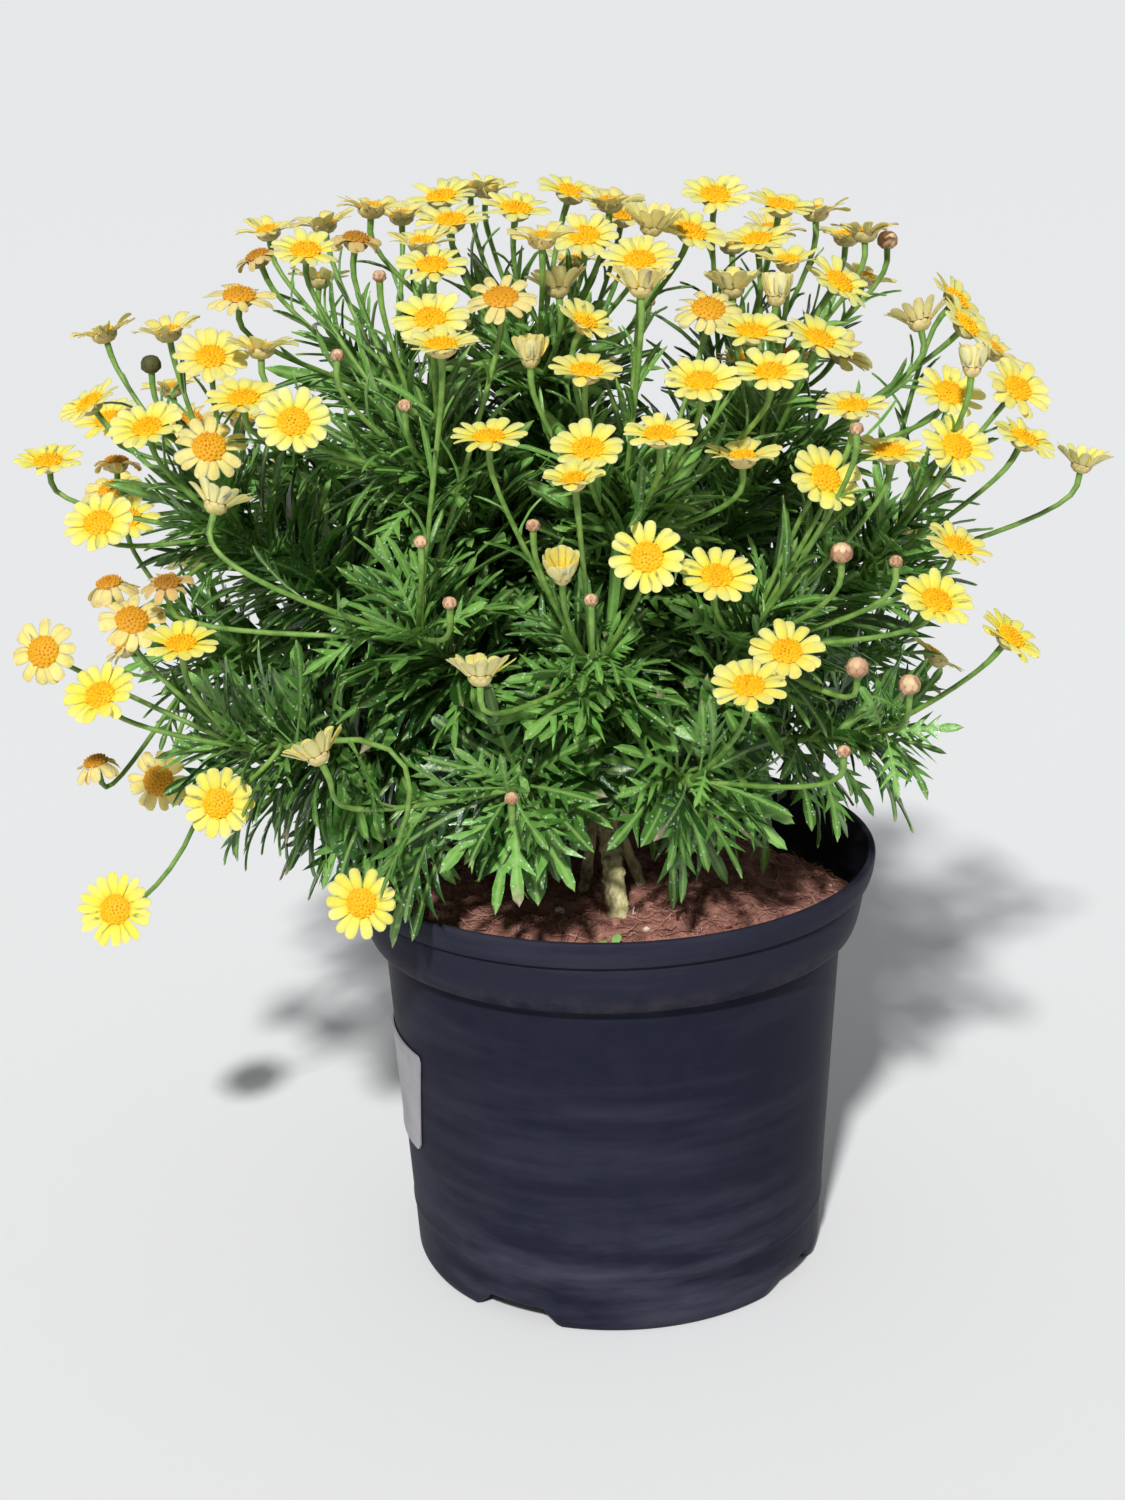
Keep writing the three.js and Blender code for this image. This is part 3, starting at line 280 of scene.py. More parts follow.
# Black plastic: dull, scuffed up the wall, worn at the foot and the lip, dusty on the ledge, and a little
# lighter from the collar's foot upward.
plastic, tree, shader = new_material("black_plastic", {"Specular IOR Level": 0.03})
height = add_node(tree, "SeparateXYZ", {0: add_node(tree, "TexCoord").outputs["Object"]}).outputs["Z"]
scuffs = patchy(tree, 7, 0.48, 0.72, Stretch=(1, 1, 9), Detail=3)
smears = patchy(tree, 15, 0.42, 0.75, Stretch=(1, 1, 5), Detail=4)
low_wear, rim_wear = times(spread(height, 0.075, 0.03), smears), times(spread(height, 0.168, 0.18), smears)
# From the collar's foot upward the colour is made a little lighter; this is summed in with the wear.
collar = spread(height, 0.150, 0.157, 0.0, 0.14)
wear_and_lighter_collar = maths("ADD", times(scuffs, 0.3),
             maths("ADD", times(low_wear, 0.8), maths("ADD", times(rim_wear, 0.3), collar)))
rubbed_and_lighter_collar = blend(maths("MINIMUM", wear_and_lighter_collar, 1.0), (0.0135, 0.0142, 0.0275), (0.058, 0.059, 0.085))
ledge = spread(maths("ABSOLUTE", maths("SUBTRACT", height, 0.151)), 0.007, 0.002, 0.1, 0.9)
dusty = put_group(tree, dust, {"Colour": rubbed_and_lighter_collar, "Dust": (0.12, 0.1, 0.09), "Amount": ledge, "Scale": 90})
fill(shader, tree, {"Base Color": dusty.outputs["Colour"], "Roughness": spread(wear_and_lighter_collar, 0, 1, 0.45, 0.7),
                    "Normal": bumpy(tree, 260, Stretch=(1, 1, 3), Strength=0.25, Depth=0.0004)})

wall = rounded(pot_profile)
rings = notched(carried_round(wall[1:-1], pot_sides))[None]
shell = tubes(rings, np.array([[[0, 0, wall[0, 1]], [0, 0, wall[-1, 1]]]]))
make_piece("nursery_pot", [shell], [plastic], ["pot"], crease=60)

# The label: a blank sheet of white paper stuck a little askew to the left of the wall. It
# follows the wall's round and lifts slightly at its edges.
sheet_from, sheet_to, sheet_low, sheet_high, sheet_lean = -100, -61, 61, 108, 0.13
sheet_corner, sheet_gap, sheet_thickness = 3, 0.35, 0.5
wall_low, wall_high, wall_foot, wall_top = 86.5, 95.7, 4, 147


def polar(turn, radius, height):
    """Places round the axis by their turn in degrees: x = r sin a, y = -r cos a, z = height."""
    angle = np.radians(turn)
    return xyz(radius * np.sin(angle), -radius * np.cos(angle), height)


def on_wall(turn, height, proud):
    """Points on the pot's wall: its radius grows evenly with height, and stands proud by a gap."""
    share = (height - wall_foot) / (wall_top - wall_foot)
    return polar(turn, wall_low + (wall_high - wall_low) * share + proud, height)


def sheet_rings(columns=49, rows=17):
    """Rings across the sheet, one for each turn: up its inner face and down its outer one. The
    height is inset near both side edges, so that the corners are round, and the turn grows
    with height by the lean."""
    turn = np.linspace(sheet_from, sheet_to, columns)[:, None]
    share = np.linspace(0, 1, rows)[None]
    side = np.minimum(turn - sheet_from, sheet_to - turn) * np.radians(wall_high)
    inset = sheet_corner * (1 - np.sqrt(np.clip(1 - (1 - np.clip(side / sheet_corner, 0, 1)) ** 2,
                                                0, 1)))
    low, high = sheet_low + inset, sheet_high - inset
    height = low + (high - low) * share
    turn = turn + sheet_lean * (height - (sheet_low + sheet_high) / 2)
    curl = 0.35 * (np.abs(share - 0.5) * 2) ** 6 + 0.25 * np.sin(turn / 3.1 + share * 5) * 0.3
    inner = on_wall(turn, height, sheet_gap)
    outer = on_wall(turn, height, sheet_gap + sheet_thickness + curl)
    return np.concatenate([inner, outer[:, ::-1]], 1)


paper, tree, shader = new_material("label_paper", {"Specular IOR Level": 0.3})
smudge = patchy(tree, 38, 0.4, 0.75)
grime = put_group(tree, dust, {"Colour": blend(smudge, (0.37, 0.36, 0.38), (0.27, 0.265, 0.29)),
                               "Dust": (0.3, 0.26, 0.22), "Amount": 0.35, "Scale": 120})
fill(shader, tree, {"Base Color": grime.outputs["Colour"], "Roughness": spread(smudge, 0, 1, 0.5, 0.75),
                    "Normal": bumpy(tree, 150, Strength=0.3, Depth=0.0006)})

rings = sheet_rings()
ends = np.stack([rings[0].mean(0), rings[-1].mean(0)])[None]
make_piece("blank_label", [tubes(rings[None], ends)], [paper], ["label"])

# The soil: damp coir and bark that fills the pot, sunk a little at its edge and more at the back
# right. Crumbs, fibres and a few pale grains lie on it, and two seedlings have come up.
soil_level, soil_crown, soil_edge = 172, 3, 4
soil_dip, dip_towards, dip_spread = 19, 130, 45
shoulder_height, bend_height, shoulder_radius, bend_radius = 148, 156, 93.7, 101
soil_foot, soil_foot_radius, soil_gap = 9.8, 84.2, 0.5
soil_lumps = [(1.5, 13, 1), (1.1, 5.5, 2), (0.7, 2.4, 3)]  # height, cell, seed
crumb_count, crumb_reach, fibre_count, fibre_reach = 560, 96, 1300, 94
seedling_places, seedling_height = [(-7, -94, 20), (1, -90, 75)], 6
cotyledon_length, cotyledon_half = 5, 1.9


def smooth_noise(x, y, cell, seed):
    """Value noise: random heights from -1 to 1 at the corners of square cells, joined smoothly."""
    table = np.random.default_rng(seed).uniform(-1, 1, (64, 64))
    column, row = np.floor(x / cell).astype(int), np.floor(y / cell).astype(int)
    across, along = x / cell - column, y / cell - row
    across, along = across**2 * (3 - 2 * across), along**2 * (3 - 2 * along)
    corner = [[table[(row + j) % 64, (column + i) % 64] for i in (0, 1)] for j in (0, 1)]
    near = corner[0][0] * (1 - across) + corner[0][1] * across
    far = corner[1][0] * (1 - across) + corner[1][1] * across
    return near * (1 - along) + far * along


def smooth_soil(turn, share):
    """Height of the soil before its lumps: level, less towards the edge, dipped to one side."""
    off = (turn - dip_towards + 540) % 360 - 180
    dip = soil_dip * np.exp(-((off / dip_spread) ** 2)) * share**4
    return soil_level + soil_crown * (1 - share) - soil_edge * share**2 - dip


def soil_radius(height):
    """Inner radius of the collar at the soil's edge."""
    share = np.clip((height - shoulder_height) / (bend_height - shoulder_height), 0, 1)
    return shoulder_radius + (bend_radius - shoulder_radius) * share - soil_gap


def soil_height(x, y):
    """Height of the soil with its lumps, at any place inside the rim."""
    turn = turn_of(x, y)
    share = np.clip(np.hypot(x, y) / soil_radius(smooth_soil(turn, 1.0)), 0, 1)
    lumps = sum(height * smooth_noise(x, y, cell, seed) for height, cell, seed in soil_lumps)
    return smooth_soil(turn, share) + lumps * np.clip((1 - share) * 14, 0.25, 1)


def soil_rings(sides=180, rows=64):
    """From the foot of the plug up its side, then inwards over the top, ring by ring."""
    turn = np.linspace(0, 360, sides, endpoint=False)
    edge = smooth_soil(turn, 1.0)
    rings = [polar(turn, soil_foot_radius, soil_foot),
             polar(turn, shoulder_radius - 1.2, shoulder_height)]
    for share in np.linspace(1, 0.006, rows):
        x, y, _ = np.moveaxis(polar(turn, soil_radius(edge) * share, 0), -1, 0)
        rings.append(xyz(x, y, soil_height(x, y)))
    return np.stack(rings)


def unit(vectors):
    """Each vector over its own length."""
    return vectors / (np.linalg.norm(vectors, axis=-1, keepdims=True) + 1e-9)


def standing(direction, reference):
    """Two unit vectors square to each direction and to each other, the first square to the
    reference too, so that the three make a right hand."""
    first = unit(np.cross(reference, direction))
    return first, np.cross(direction, first)


def piped(path, radius, corners, reference=(0.31, 0.17, 0.93)):
    """Rings round paths of points: centre + radius (cos a · first + sin a · second), where first
    and second stand square to the path. Radius is a number for each ring or corner."""
    first, second = standing(unit(np.gradient(path, axis=-2)), np.asarray(reference))
    angle = np.linspace(0, 2 * np.pi, corners, endpoint=False)[:, None]
    ring = np.cos(angle) * first[..., None, :] + np.sin(angle) * second[..., None, :]
    radius = np.broadcast_to(radius, ring.shape[:-1])[..., None]
    return path[..., None, :] + ring * radius


def piped_skin(path, radius, corners, reference=(0.31, 0.17, 0.93), **marks):
    """A closed pipe along each path, shut at its first and last place."""
    return tubes(piped(path, radius, corners, reference), path[..., [0, -1], :], **marks)


def strewn(count, reach, chance):
    """Places spread evenly over a round on the ground: r = reach √u, u even from 0 to 1."""
    away = reach * np.sqrt(chance.random(count))
    return polar(chance.uniform(0, 360, count), away, 0)


def crumbs(count, chance):
    """Lumps of bark: two rings of six corners pushed in and out at random, on random places."""
    place = strewn(count, crumb_reach, chance)
    size = 0.7 + 2.2 * chance.random(count) ** 3
    place[:, 2] = soil_height(place[:, 0], place[:, 1]) + 0.15 * size
    angle = np.arange(6) * np.pi / 3 + chance.uniform(0, 6, (count, 1, 1))
    push = chance.uniform(0.65, 1.2, (count, 2, 6)) * size[:, None, None]
    rise = np.array([-0.35, 0.35])[None, :, None] * chance.uniform(0.6, 1.3, (count, 2, 6))
    ring = xyz(push * np.cos(angle), push * np.sin(angle) * 0.8, rise * size[:, None, None])
    ends = xyz(0, 0, np.array([-0.7, 0.75]) * size[:, None])
    return tubes(ring + place[:, None, None], ends + place[:, None],
                 tint=chance.random(count)[:, None, None])


def fibres(count, chance):
    """Coir fibres: thin arcs that lie across the soil, their ends turned up or down a little."""
    middle = strewn(count, fibre_reach, chance)[:, None]
    course = chance.uniform(0, 2 * np.pi, (count, 1))
    bend = chance.uniform(-1.4, 1.4, (count, 1))
    length = 4 + 13 * chance.random((count, 1)) ** 2
    t = np.linspace(-0.5, 0.5, 5)[None]
    angle = course + bend * t
    step = xyz(np.cos(angle), np.sin(angle), 0) * length[..., None] / 4
    path = middle + np.cumsum(step, 1) - step.sum(1, keepdims=True) / 2
    path[..., :2] *= np.minimum(1, crumb_reach / (np.hypot(path[..., 0], path[..., 1]) + 1e-9))[..., None]
    lift = 0.6 + chance.uniform(-0.6, 2.2, (count, 1)) * (2 * t) ** 2
    path[..., 2] = soil_height(path[..., 0], path[..., 1]) + lift
    return piped_skin(path, chance.uniform(0.13, 0.32, (count, 1, 1)), 3,
                      tint=chance.random((count, 1, 1)))


def seedlings():
    """Two cotyledons each on a short stem: flat ellipses, a little cupped, raised from the soil."""
    skins = []
    for x, y, turn in seedling_places:
        foot = np.array([x, y, soil_height(np.array(x), np.array(y)) - 1])
        top = foot + [0, -1, seedling_height]
        skins.append(piped_skin(np.linspace(foot, top, 5)[None], 0.45, 6, material=1, tint=0.5))
        for angle in np.radians([turn, turn + 180]):
            t = np.linspace(0.02, 0.98, 7)[:, None]
            path = top + np.array([np.cos(angle), np.sin(angle), 0.45]) * t * cotyledon_length
            around = np.linspace(0, 2 * np.pi, 8, endpoint=False)
            aside = cotyledon_half * np.sqrt(np.clip(1 - (2 * t - 1) ** 2, 0.02, 1)) * np.cos(around)
            ring = path[:, None] + np.array([-np.sin(angle), np.cos(angle), 0]) * aside[..., None]
            ring[..., 2] += 0.3 * np.sin(around) + 0.25 * aside**2 / 3
            skins.append(tubes(ring[None], path[None, [0, -1]], material=1, tint=0.5))
    return skins


earth, tree, shader = new_material("damp_coir", {"Specular IOR Level": 0.25})
clods, grains = patchy(tree, 130, 0.32, 0.68), patchy(tree, 520, 0.56, 0.66)
[tint] = marks_on(tree, "tint")
browns = blend(clods, (0.2, 0.08, 0.058), (0.5, 0.235, 0.18))
flecked = blend(times(grains, 0.45), browns, (0.62, 0.36, 0.28))
lit = blend(spread(tint, 0.5, 1.0, 0.0, 0.5), flecked, (0.6, 0.36, 0.28))
fill(shader, tree, {"Base Color": blend(spread(tint, 0.985, 0.99), lit, (0.75, 0.66, 0.56)),
                    "Roughness": spread(clods, 0, 1, 0.72, 0.95),
                    "Normal": bumpy(tree, 700, Strength=0.8, Depth=0.0012)})

sprout, tree, shader = new_material("seedling_green", {"Roughness": 0.4})
fill(shader, tree, {"Base Color": blend(patchy(tree, 300, 0.3, 0.7), (0.22, 0.42, 0.1), (0.35, 0.55, 0.2)),
                    "Normal": bumpy(tree, 900, Strength=0.2)})

rings = soil_rings()
ends = np.array([[[0, 0, soil_foot], rings[-1].mean(0)]])
chance = np.random.default_rng(7)
skins = [tubes(rings[None], ends, tint=0.0), crumbs(crumb_count, chance),
         fibres(fibre_count, chance), *seedlings()]
make_piece("potting_soil", skins, [earth, sprout], ["soil"], crease=40)

# The woody base: the trunk comes up through the soil to the crown, with two thinner stems beside
# it, and parts there into one limb for each leafy shoot. The bark is ringed and has the raised
# scars of fallen leaves.
crown = np.array([-5.0, -15.0, 225.0])
trunk_foot, trunk_knee, trunk_radius = np.array([6.0, -74, 141]), np.array([-1.0, -34, 205]), 4.5
side_feet = [((-16, -42, 141), 2.2), ((24, -34, 141), 2.1)]
limb_length, limb_drop, limb_base, limb_tip = 45, 14, 3.2, 2.4
trunk_top_radius, scar_turn, scar_rise, scar_along, scar_around = 3.8, 2.4, 0.3, 1.4, 0.6
dome_centre, dome_size = np.array([-18.0, 0, 255]), {"across": 226, "front": 150, "back": 170, "up": 206}
shoot_rings = [(82, 1, -100), (60, 6, 10), (36, 9, 0), (10, 8, 25)]  # lift, count, first turn
shoot_reach, shoot_left_reach = 0.6, 0.13


def heading(turn, lift):
    """Unit vector with a compass turn, 0 towards the front and positive to the right, and a lift."""
    lift = np.radians(lift)
    return polar(turn, np.cos(lift), np.sin(lift))


def dome_distance(direction):
    """How far from the crown a line leaves the dome of flowers, an ellipsoid: the larger root of
    |start + distance · step| = 1 in the ellipsoid's own scale."""
    depth = np.where(direction[:, 1] < 0, dome_size["front"], dome_size["back"])
    size = xyz(dome_size["across"], depth, dome_size["up"]).astype(float)
    start, step = (crown - dome_centre) / size, direction / size
    a, b, c = (step**2).sum(-1), 2 * (start * step).sum(-1), (start**2).sum(-1) - 1
    return (-b + np.sqrt(b * b - 4 * a * c)) / (2 * a)


shoot_ways = np.concatenate([heading(first + 360 / count * np.arange(count), lift)
                             for lift, count, first in shoot_rings])
shoot_lengths = dome_distance(shoot_ways) * (
    shoot_reach + shoot_left_reach * np.maximum(0, -shoot_ways[:, 0]))
shoot_tips = crown + shoot_ways * shoot_lengths[:, None]


def curve(places, steps):
    """A Bezier curve through two ends, drawn towards the two places between them, evenly stepped in
    its parameter. Each place may be an array with one row for each curve."""
    t = np.linspace(0, 1, steps)[:, None]
    a, b, c, d = (np.asarray(place)[..., None, :] for place in places)
    return (1 - t) ** 3 * a + 3 * t * (1 - t) ** 2 * b + 3 * t**2 * (1 - t) * c + t**3 * d


def barked(path, radius, corners, seed, scars):
    """A stem whose radius swells in rings, furrows lengthwise, and stands out at leaf scars set on a
    golden-angle spiral: each a small hill, exp(-(along² + around²))."""
    rows = path.shape[0]
    chance = np.random.default_rng(seed)
    along = np.concatenate([[0], np.cumsum(np.linalg.norm(np.diff(path, axis=0), axis=-1))])[:, None]
    angle = np.linspace(0, 2 * np.pi, corners, endpoint=False)[None]
    swell = 0.05 * np.sin(along * 0.9 + 2 * np.sin(along * 0.21)) + 0.03 * np.sin(
        5 * angle + 3 * np.sin(along * 0.08)) + chance.uniform(-0.05, 0.05, (rows, corners))
    for i in range(scars):
        at = along[-1] * (i + 0.5) / scars
        off = (angle - scar_turn * i + np.pi) % (2 * np.pi) - np.pi
        swell += scar_rise * np.exp(-(((along - at) / scar_along) ** 2) - (off / scar_around) ** 2)
    return piped_skin(path[None], (radius * (1 + swell))[None], corners, along=along / along[-1],
                      tint=chance.random())


bark, tree, shader = new_material("green_bark", {"Specular IOR Level": 0.3})
aged = patchy(tree, 120, 0.38, 0.66, Stretch=(1, 1, 0.4))
rough_skin_and_highlights = patchy(tree, 420, 0.45, 0.7)
greens = blend(aged, (0.78, 0.7, 0.32), (0.12, 0.1, 0.035))
# The rough patches are also painted pale: painted highlights on the bark.
fill(shader, tree, {"Base Color": blend(times(rough_skin_and_highlights, 0.5), greens, (0.92, 0.88, 0.6)),
                    "Roughness": spread(rough_skin_and_highlights, 0, 1, 0.6, 0.9),
                    "Normal": bumpy(tree, 420, Strength=0.9, Depth=0.0018)})

crown_top = crown + [0, 0, 6]
skins = [barked(curve([trunk_foot, trunk_foot * 0.5 + trunk_knee * 0.5, trunk_knee, crown_top], 96),
                np.linspace(trunk_radius, trunk_top_radius, 96)[:, None], 18, 1, 40)]
for i, (foot, radius) in enumerate(side_feet):
    foot = np.array(foot, float)
    bow = np.array([3.0 * (-1) ** i, -3, 0])
    skins.append(barked(curve([foot, foot * 0.6 + crown * 0.4, foot * 0.25 + crown * 0.75 + bow,
                               crown], 60), np.linspace(radius, radius, 60)[:, None], 12, 2 + i, 14))
for i, way in enumerate(shoot_ways):
    start = crown - [0, 0, limb_drop * (1 - way[2])]
    end = crown + way * limb_length
    bow = np.random.default_rng([5, i]).uniform(-2, 2, 3)
    path = curve([start, start * 0.65 + end * 0.35 + bow, end - way * limb_length * 0.3, end], 16)
    skins.append(barked(path, np.linspace(limb_base, limb_tip, 16)[:, None], 8, 10 + i, 4))
make_piece("woody_stems", skins, [bark], ["woody_base"], crease=70)

# The leafy shoots: from each limb a soft green stem goes on to the tip of its shoot, set with
# leaves on a golden-angle spiral. A leaf is a narrow blade cut nearly to its midrib into three
# pairs of forward lobes and an end lobe. Low leaves stand out and hang, the upper ones close in.
stem_low, stem_high = 2.4, 1.7
leaf_seats = np.array([  # share of the shoot, face of five, degrees from the stem, size
    [0.42, 0, 75, 1.0], [0.42, 2, 75, 1.05], [0.68, 1, 62, 1.1], [0.68, 4, 62, 1.05],
    [0.88, 0, 42, 0.95], [0.88, 2, 45, 0.9]])
seat_turn, seat_length, golden = 1.1, 52, 137.508
cut_spacing, plain_spacing, cut_more, plain_more = 1.9, 1.9, 18, 14
cut_blade = np.array([  # place along the leaf, half width, lobe pair (0: the midrib, 4: the end)
    [0, 0.02, 0], [0.2, 0.013, 0],
    [0.25, 0.016, 0], [0.28, 0.095, 1], [0.31, 0.135, 1], [0.35, 0.022, 0],
    [0.39, 0.022, 0], [0.425, 0.13, 2], [0.455, 0.2, 2], [0.5, 0.028, 0],
    [0.55, 0.028, 0], [0.585, 0.13, 3], [0.615, 0.2, 3], [0.66, 0.03, 0],
    [0.78, 0.046, 4], [0.9, 0.036, 4], [1.0, 0.005, 0]])
plain_blade = np.array([[0, 0.03, 0], [0.25, 0.07, 4], [0.6, 0.095, 4], [0.84, 0.065, 4],
                        [1.0, 0.006, 0]])
hung_leaves = np.array([  # start and tip of the leaves that hang over the pot's left rim
    [-58, -86, 224, -76, -99, 182], [-64, -84, 228, -84, -95, 178], [-70, -78, 222, -92, -88, 184],
    [-76, -76, 230, -98, -86, 190], [-80, -70, 224, -106, -80, 186], [-86, -68, 232, -112, -76, 194],
    [-90, -60, 226, -118, -70, 188], [-72, -90, 236, -88, -102, 194], [-96, -60, 236, -126, -66, 198],
    [-62, -96, 234, -78, -106, 192], [-100, -52, 228, -130, -58, 192], [-82, -82, 240, -104, -92, 200],
    [-138, -45, 219, -153, -55, 197], [-133, -45, 217, -145, -55, 194], [-129, -45, 219, -138, -55, 201],
    [-142, -45, 232, -158, -55, 210], [-123, -45, 219, -127, -55, 194], [-111, -45, 227, -117, -55, 189]])
lobe_lean, lobe_fold, lobe_droop = 1.05, 0.3, 0.22
blade_half, petiole_half = 0.3, 0.75
section_place = np.array([1, 0.5, 0, -0.5, -1, 0])
section_face = np.array([0, 1, 1.5, 1, 0, -1.6])
rim_radius, rim_height, rim_room = 108, 181, 9
trunk_middle, trunk_room, trunk_front, trunk_seen_to = 1, 10, -22, 214
dry_from, dry_fall = 230, 300


def blades(shape, start, aim, normal, length, sag, twist, chance):
    """Leaves whose midrib is an arc: P(t) = start + L/sag (aim sin θ - normal (1 - cos θ)), θ = sag t.
    A point aside by v w leans forward by lean |v| w, folds up and then droops at its tip."""
    count, rows = len(start), len(shape)
    along, half = shape[:, 0], shape[:, 1]
    t = along + 0.012 * chance.uniform(-1, 1, (count, rows)) * (along < 1)
    theta = (sag[:, None] * t)[..., None]
    reach = (length / sag)[:, None, None]
    start, aim, normal = start[:, None], aim[:, None], normal[:, None]
    middle = start + reach * (aim * np.sin(theta) - normal * (1 - np.cos(theta)))
    forward = aim * np.cos(theta) - normal * np.sin(theta)
    over = normal * np.cos(theta) + aim * np.sin(theta)
    side = np.cross(over, forward)
    turn = (twist[:, None] * t)[..., None]
    side, over = side * np.cos(turn) + over * np.sin(turn), over * np.cos(turn) - side * np.sin(turn)
    cut = chance.random((count, 1, 1)) ** 0.5
    lobes = chance.uniform(0.8, 1.2, (count, 5, 2)) * (0.72 + 0.36 * cut)
    lobes[:, [0, 4]] = 1.35 - 0.35 * cut
    width = half[:, None] * lobes[:, shape[:, 2].astype(int)]
    width = width[..., (section_place < 0).astype(int)] * length[:, None, None]
    aside = np.abs(section_place) * width
    thick = np.where(along < 0.2, petiole_half, blade_half)[:, None] * section_face
    flop = chance.uniform(0.2, 1.6, (count, 1, 1))
    rise = lobe_fold * aside - flop * lobe_droop * aside**2 / 6 + thick
    points = (middle[:, :, None] + forward[:, :, None] * (lobe_lean * aside)[..., None]
              + side[:, :, None] * (np.sign(section_place) * aside)[..., None]
              + over[:, :, None] * rise[..., None])
    ends = np.stack([points[:, 0].mean(1), points[:, -1].mean(1) + forward[:, -1] * 0.8], 1)
    return points, ends, aside / length[:, None, None]


def hung(places, chance):
    """Seats of leaves given by start and tip. With sag s the chord of the midrib's arc lies s/2
    below its first direction, so both that and the upper face are turned back by s/2."""
    start, tip = places[:, :3], places[:, 3:]
    chord, sag = unit(tip - start), np.radians(chance.uniform(30, 60, len(places)))
    out = unit(start * [1, 1, 0]) + [0, 0, 0.2]
    out = unit(out - chord * (out * chord).sum(-1, keepdims=True))
    c, s = np.cos(sag / 2)[:, None], np.sin(sag / 2)[:, None]
    size = np.linalg.norm(tip - start, axis=-1) * 1.05
    return start, chord * c + out * s, out * c - chord * s, size, sag, chance.uniform(-0.5, 0.5, len(sag))


def leaf_skin(shape, seats, chance, brightest=1.0, material=0):
    """Leaves on their seats, without those that would be in the pot, as one skin with its marks.
    They are the drier, the lower they hang."""
    points, ends, aside = blades(shape, *seats, chance)
    keep = clear_of_pot(points)
    tint, dry = (chance.uniform(low, high, (len(points), 1, 1))
                 for low, high in ((0, brightest), (-1.2, 1)))
    dry = np.clip(dry + (dry_from - points[..., 2].mean((1, 2))[:, None, None]) / dry_fall, 0, 1)
    return tubes(points[keep], ends[keep], material, along=shape[:, :1], aside=aside[keep],
                 tint=tint[keep], dry=dry[keep])


def seated(direction, length, share, turn, lean, size, chance):
    """Start, aim, upper face, length, sag and twist of leaves round a straight stem, from their
    share of its length, their turn about it and their lean away from it, in radians."""
    square = unit(np.cross([0, 0, 1] if abs(direction[2]) < 0.9 else [1, 0, 0], direction))
    other = np.cross(direction, square)
    outward = square * np.cos(turn)[:, None] + other * np.sin(turn)[:, None]
    lean = lean[:, None]
    aim = unit(direction * np.cos(lean) + outward * np.sin(lean)
               + [0, 0, 0.5 * float(direction[2] > 0.3)] * chance.random((len(size), 1)))
    face = direction * np.sin(lean) - outward * np.cos(lean) + [0, 0, 0.6]
    face = unit(face - aim * (face * aim).sum(-1, keepdims=True))
    start = crown + direction * (length * share)[:, None] + outward * 1.2
    sag = np.radians(chance.uniform(25, 75, len(size))) * (1.4 - 0.75 * share - 0.3 * direction[2])
    return start, aim, face, size, sag, chance.uniform(-0.7, 0.7, len(size))


def spiral(count, low, high, first, chance):
    """Share, turn, lean and size of leaves up a stem: each a golden angle on, the upper ones
    shorter and closer to the stem."""
    i = np.arange(count)
    share = low + (high - low) * ((i + 0.5) / count) ** 0.85
    loose = chance.uniform(-1, 1, (2, count))
    return (share, first + np.radians(golden) * i, np.radians(86 - 60 * share**2.2 + 13 * loose[0]),
            50 - 12 * share**3 + 9 * loose[1])


def clear_of_pot(points):
    """False for a leaf with any point in the rim of the pot, in the soil or before the trunk."""
    x, y, z = np.moveaxis(points, -1, 0)
    away = np.hypot(x, y)
    in_rim = (np.abs(away - rim_radius) < rim_room) & (z < rim_height + 3)
    low = (away < rim_radius) & (z < soil_height(x, y) + 1)
    before_trunk = (np.abs(x - trunk_middle) < trunk_room) & (y < trunk_front) & (z < trunk_seen_to)
    return ~(in_rim | low | before_trunk).any((1, 2))


leaf_green, tree, shader = new_material("leaf_green", {"Specular IOR Level": 0.4,
                                                       "Coat Roughness": 0.08})
tint, along, aside, dry = marks_on(tree, "tint", "along", "aside", "dry")
mottle = patchy(tree, 260, 0.35, 0.7)
# A low tint is darker; the inner plain leaves get only low ones, painted shade inside the foliage.
deep = blend(tint, (0.005, 0.046, 0.003), (0.125, 0.335, 0.046))
bright = blend(times(mottle, times(tint, 0.8)), deep, (0.24, 0.46, 0.12))
ribbed = blend(times(spread(aside, 0.02, 0.008), 0.55), bright, (0.3, 0.47, 0.13))
edge = times(spread(aside, 0.16, 0.26), spread(tint, 0.2, 0.8))
edged = blend(times(edge, 0.45), ribbed, (0.24, 0.32, 0.06))
withered = spread(maths("ADD", times(dry, 0.55), along), 1.3, 1.46)
dead = blend(mottle, (0.16, 0.13, 0.07), (0.42, 0.34, 0.24))
beads = add_node(tree, "TexVoronoi", {"Vector": add_node(tree, "TexCoord").outputs["Object"],
                                      "Scale": 420.0, "Randomness": 1.0})
wet_beads_and_glints = times(spread(beads.outputs["Distance"], 0.26, 0.14), patchy(tree, 70, 0.42, 0.52))
# Each water bead's core is painted near-white: a painted glint, besides the beads' real coat and bump.
glint = blend(times(wet_beads_and_glints, 0.5), edged, (0.7, 0.85, 0.72))
fill(shader, tree, {"Base Color": blend(withered, glint, dead), "Coat Weight": wet_beads_and_glints,
                    "Roughness": spread(mottle, 0, 1, 0.26, 0.42),
                    "Normal": bumpy(tree, 420, Strength=0.5, Depth=0.0006, Height=times(wet_beads_and_glints, 1.6))})

soft_stem, tree, shader = new_material("soft_stem", {"Roughness": 0.45, "Specular IOR Level": 0.4})
streaks = patchy(tree, 160, 0.35, 0.7)
fill(shader, tree, {"Base Color": blend(streaks, (0.1, 0.22, 0.03), (0.25, 0.42, 0.09)),
                    "Normal": bumpy(tree, 500, Strength=0.4)})

